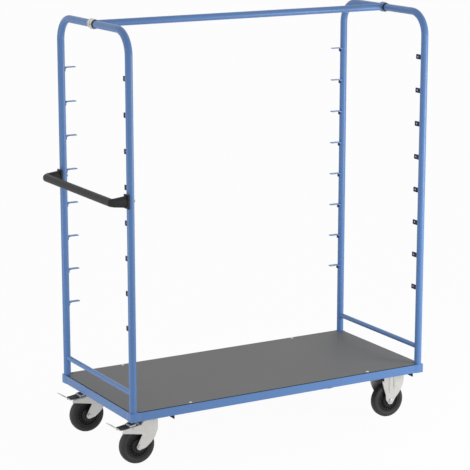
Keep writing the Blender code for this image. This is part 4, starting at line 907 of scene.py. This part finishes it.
class TROLLEY_OT_brakes(bpy.types.Operator):
    """Makes the brake levers, their treads, their pins and the bright straps"""

    bl_idname = "trolley.brakes"
    bl_label = "Brakes"

    def execute(self, context):
        sizes = context.scene.trolley_sizes
        for corner in SWIVELS:
            for part, finish in (("brake_lever", "zinc"), ("brake_cover", "tread"), ("brake_pin", "zinc")):
                node = f"{corner}_{part}"
                bm = copied(node)
                if part == "brake_cover":
                    self.narrow(bm, middle(node).y)
                piece(f"{node}_made", bm, finish, body_of(node), [node], sizes.edge * 1.2, 30)
            self.strap(corner)
        return {"FINISHED"}

    def narrow(self, bm, centre):
        """Draws the tread in, so that the steel of the lever frames it."""
        share = 0.76
        for vert in bm.verts:
            vert.co.y = centre + (vert.co.y - centre) * share

    def strap(self, corner):
        """The bright steel strap over the pedal, with an arm along each side."""
        node = f"{corner}_brake_cover"
        reach, share, half_arm = 0.0475, 0.82, 0.0008
        low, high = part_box(node)
        half = (high.y - low.y) / 2 * share
        at = Vector((low.x + reach, middle(node).y, low.z))
        bm = bmesh.new()
        over = [(-0.0035, 0.0090), (0.0030, 0.0118), (0.0030, 0.0132), (-0.0035, 0.0104)]
        prism(bm, [(at.x + a, at.z + b) for a, b in over], at.y - half, at.y + half, "xz")
        arm = eased([(-0.0035, 0.0020), (0.0270, 0.0100), (0.0270, 0.0165), (-0.0035, 0.0104)], 0.002, 3)
        for side in (-1, 1):
            edge = at.y + side * half
            prism(bm, [(at.x + a, at.z + b) for a, b in arm], edge - half_arm, edge + half_arm, "xz")
        piece(f"{corner}_brake_strap", bm, "screw_zinc", body_of(node), edge=0.0003, angle=50)


def screw_head(bm, centre, radius, height, turn):
    """A domed head with a cross recess, as a net of rings from its seat to the middle."""
    steps, sides, seat, roundness = 17, 64, 0.0006, 2.2
    slot_half, slot_reach, slot_end, slot_depth = radius * 0.13, radius * 0.52, radius * 0.62, height * 0.75
    rings = []
    for i in range(steps):
        r = radius * (1 - i / (steps - 0.5))
        dome = height * (1 - (r / radius) ** roundness)
        ring = []
        for a in (math.tau * k / sides for k in range(sides)):
            u, v = abs(r * math.cos(a - turn)), abs(r * math.sin(a - turn))
            slot = min(u, v) < slot_half and max(u, v) < slot_reach
            depth = slot_depth * (1 - max(u, v) / slot_end) if slot else 0
            ring.append(centre + Vector((r * math.cos(a), r * math.sin(a), dome - depth)))
        rings.append(ring)
    rings.insert(0, [Vector((p.x, p.y, p.z - seat)) for p in rings[0]])
    lofted(bm, rings)


class TROLLEY_OT_fasteners(bpy.types.Operator):
    """Makes the deck screws, the clamp bolts and the handle screws"""

    bl_idname = "trolley.fasteners"
    bl_label = "Fasteners"

    def execute(self, context):
        for number in range(1, 5):
            node = f"deck_screw_{number}"
            low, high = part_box(node)
            bm = bmesh.new()
            at = Vector(((low.x + high.x) / 2, (low.y + high.y) / 2, DECK_TOP + 0.0006))
            screw_head(bm, at, radius=0.007, height=0.0022, turn=number * 0.7)
            piece(f"deck_screw_head_{number}", bm, "screw_zinc", "trolley", [node], angle=60)
        for side, x, outward in (("left", LEFT_X, -1), ("right", RIGHT_X, 1)):
            bm = bmesh.new()
            place = Matrix.Translation((x, 0, HOOP_TOP)) @ Matrix.Rotation(math.radians(90 * outward), 4, "Y")
            screw_cap(bm, width=0.014, low=0.0200, high=0.0251, transform=place, recess=0.006)
            piece(f"{side}_clamp_screw", bm, "zinc", "trolley", [f"{side}_clamp_bolt"])
        for side, y in (("front", -LEG_Y), ("back", LEG_Y)):
            bm = bmesh.new()
            place = Matrix.Translation((LEFT_X, y, HANDLE_Z)) @ Matrix.Rotation(math.radians(90), 4, "Y")
            screw_cap(bm, width=0.012, low=0.0162, high=0.0193, transform=place, recess=0.005)
            piece(f"handle_screw_head_{side}", bm, "zinc", "trolley", [f"handle_screw_{side}"])
        self.keep_cad()
        return {"FINISHED"}

    def keep_cad(self):
        """The CAD's own pieces that stay, mostly hidden, get the zinc finish."""
        for name, node in frame["nodes"].items():
            if not node.hide_render:
                node.data.materials.clear()
                node.data.materials.append(material("zinc"))


# Stage

def soft_lamp(name, at, size, power):
    """A round area lamp that faces the middle of the trolley."""
    aim = Vector((MIDDLE_X, 0, 0.8))
    data = bpy.data.lights.new(name, "AREA")
    data.shape = "DISK"
    data.size = size
    data.energy = power
    lamp = bpy.data.objects.new(name, data)
    lamp.location = at
    lamp.rotation_euler = (aim - Vector(at)).to_track_quat("-Z", "Y").to_euler()
    bpy.context.scene.collection.objects.link(lamp)


def seen_directly(finish):
    """1 for what the camera, a mirror or glass sees of the backdrop, and 0 for its light."""
    kinds = [finish.node("ShaderNodeLightPath", output=name)
             for name in ("Is Camera Ray", "Is Glossy Ray", "Is Transmission Ray")]
    return kinds[0].maths("MAXIMUM", kinds[0], kinds[1].maths("MAXIMUM", kinds[1], kinds[2]))


class Backdrop(Finish):
    """The world as a tree of nodes with a Background shader."""

    def __init__(self):
        self.material = bpy.data.worlds.new("studio")
        self.material.use_nodes = True
        self.tree = self.material.node_tree
        self.shader = self.tree.nodes["Background"]


class TROLLEY_OT_stage(bpy.types.Operator):
    """Makes the pale floor, the soft studio light and the camera"""

    bl_idname = "trolley.stage"
    bl_label = "Stage"

    def execute(self, context):
        scene = context.scene
        scene.view_settings.view_transform = "Standard"
        self.floor()
        backdrop, light = Backdrop(), 0.48
        scene.world = backdrop.set(Color=(1, 1, 1, 1), Strength=light + seen_directly(backdrop) * (1 - light))
        soft_lamp("key", (2.0, -2.0, 1.0), size=1.1, power=32)
        soft_lamp("fill", (-3.2, -4.6, 2.2), size=2.4, power=12)
        soft_lamp("low_fill", (-2.9, 0.2, 0.45), size=0.9, power=9)
        self.camera(scene)
        return {"FINISHED"}

    def floor(self):
        """A pale floor that takes the shadow and looks white to the camera."""
        glow_share = 0.96
        bm = bmesh.new()
        bmesh.ops.create_grid(bm, x_segments=1, y_segments=1, size=40)
        mesh = bpy.data.meshes.new("floor")
        bm.to_mesh(mesh)
        bm.free()
        floor = bpy.data.objects.new("floor", mesh)
        bpy.context.scene.collection.objects.link(floor)
        finish = Finish("floor")
        finish.set(Base_Color=(0.90, 0.90, 0.90, 1), Roughness=1.0, Specular_IOR_Level=0.0)
        glow = finish.node("ShaderNodeEmission", {}, {"Color": (1, 1, 1, 1), "Strength": 1.0})
        lit = Value(finish, finish.shader.outputs[0])
        mixed = finish.node("ShaderNodeMixShader", {}, {0: seen_directly(finish) * glow_share, 1: lit, 2: glow})
        finish.feed(finish.tree.nodes["Material Output"].inputs["Surface"], mixed)
        mesh.materials.append(finish.material)

    def camera(self, scene):
        """The photograph's view point, pitched down with no shift."""
        pitch, yaw = 12.518, -29.984
        data = bpy.data.cameras.new("camera")
        data.lens = 142.774
        data.clip_end = 200
        camera = bpy.data.objects.new("camera", data)
        camera.location = (-4.05955, -7.017, 2.679)
        camera.rotation_euler = (math.radians(90 - pitch), 0, math.radians(yaw))
        scene.collection.objects.link(camera)
        scene.camera = camera


PIECES = (TROLLEY_OT_deck_frame, TROLLEY_OT_deck_board, TROLLEY_OT_hoops, TROLLEY_OT_stretchers,
          TROLLEY_OT_top_rail, TROLLEY_OT_push_handle, TROLLEY_OT_wheels, TROLLEY_OT_casters,
          TROLLEY_OT_brakes, TROLLEY_OT_fasteners, TROLLEY_OT_stage)


class TROLLEY_PT_panel(bpy.types.Panel):
    """Lists the sizes, the colours and the pieces of the trolley"""

    bl_idname = "TROLLEY_PT_panel"
    bl_label = "Shelf trolley"
    bl_space_type = "VIEW_3D"
    bl_region_type = "UI"
    bl_category = "Trolley"

    def draw(self, context):
        for group in (context.scene.trolley_sizes, context.scene.trolley_colours):
            box = self.layout.box()
            for name in group.__annotations__:
                box.prop(group, name)
        for operator in PIECES:
            self.layout.operator(operator.bl_idname)


CLASSES = (TrolleySizes, TrolleyColours, *PIECES, TROLLEY_PT_panel)


def register():
    for item in CLASSES:
        bpy.utils.register_class(item)
    bpy.types.Scene.trolley_sizes = PointerProperty(type=TrolleySizes)
    bpy.types.Scene.trolley_colours = PointerProperty(type=TrolleyColours)


def unregister():
    del bpy.types.Scene.trolley_colours
    del bpy.types.Scene.trolley_sizes
    for item in reversed(CLASSES):
        bpy.utils.unregister_class(item)


def main():
    register()
    for operator in PIECES:
        group, name = operator.bl_idname.split(".")
        getattr(getattr(bpy.ops, group), name)()
    bpy.context.view_layer.update()


if __name__ == "__main__":
    main()
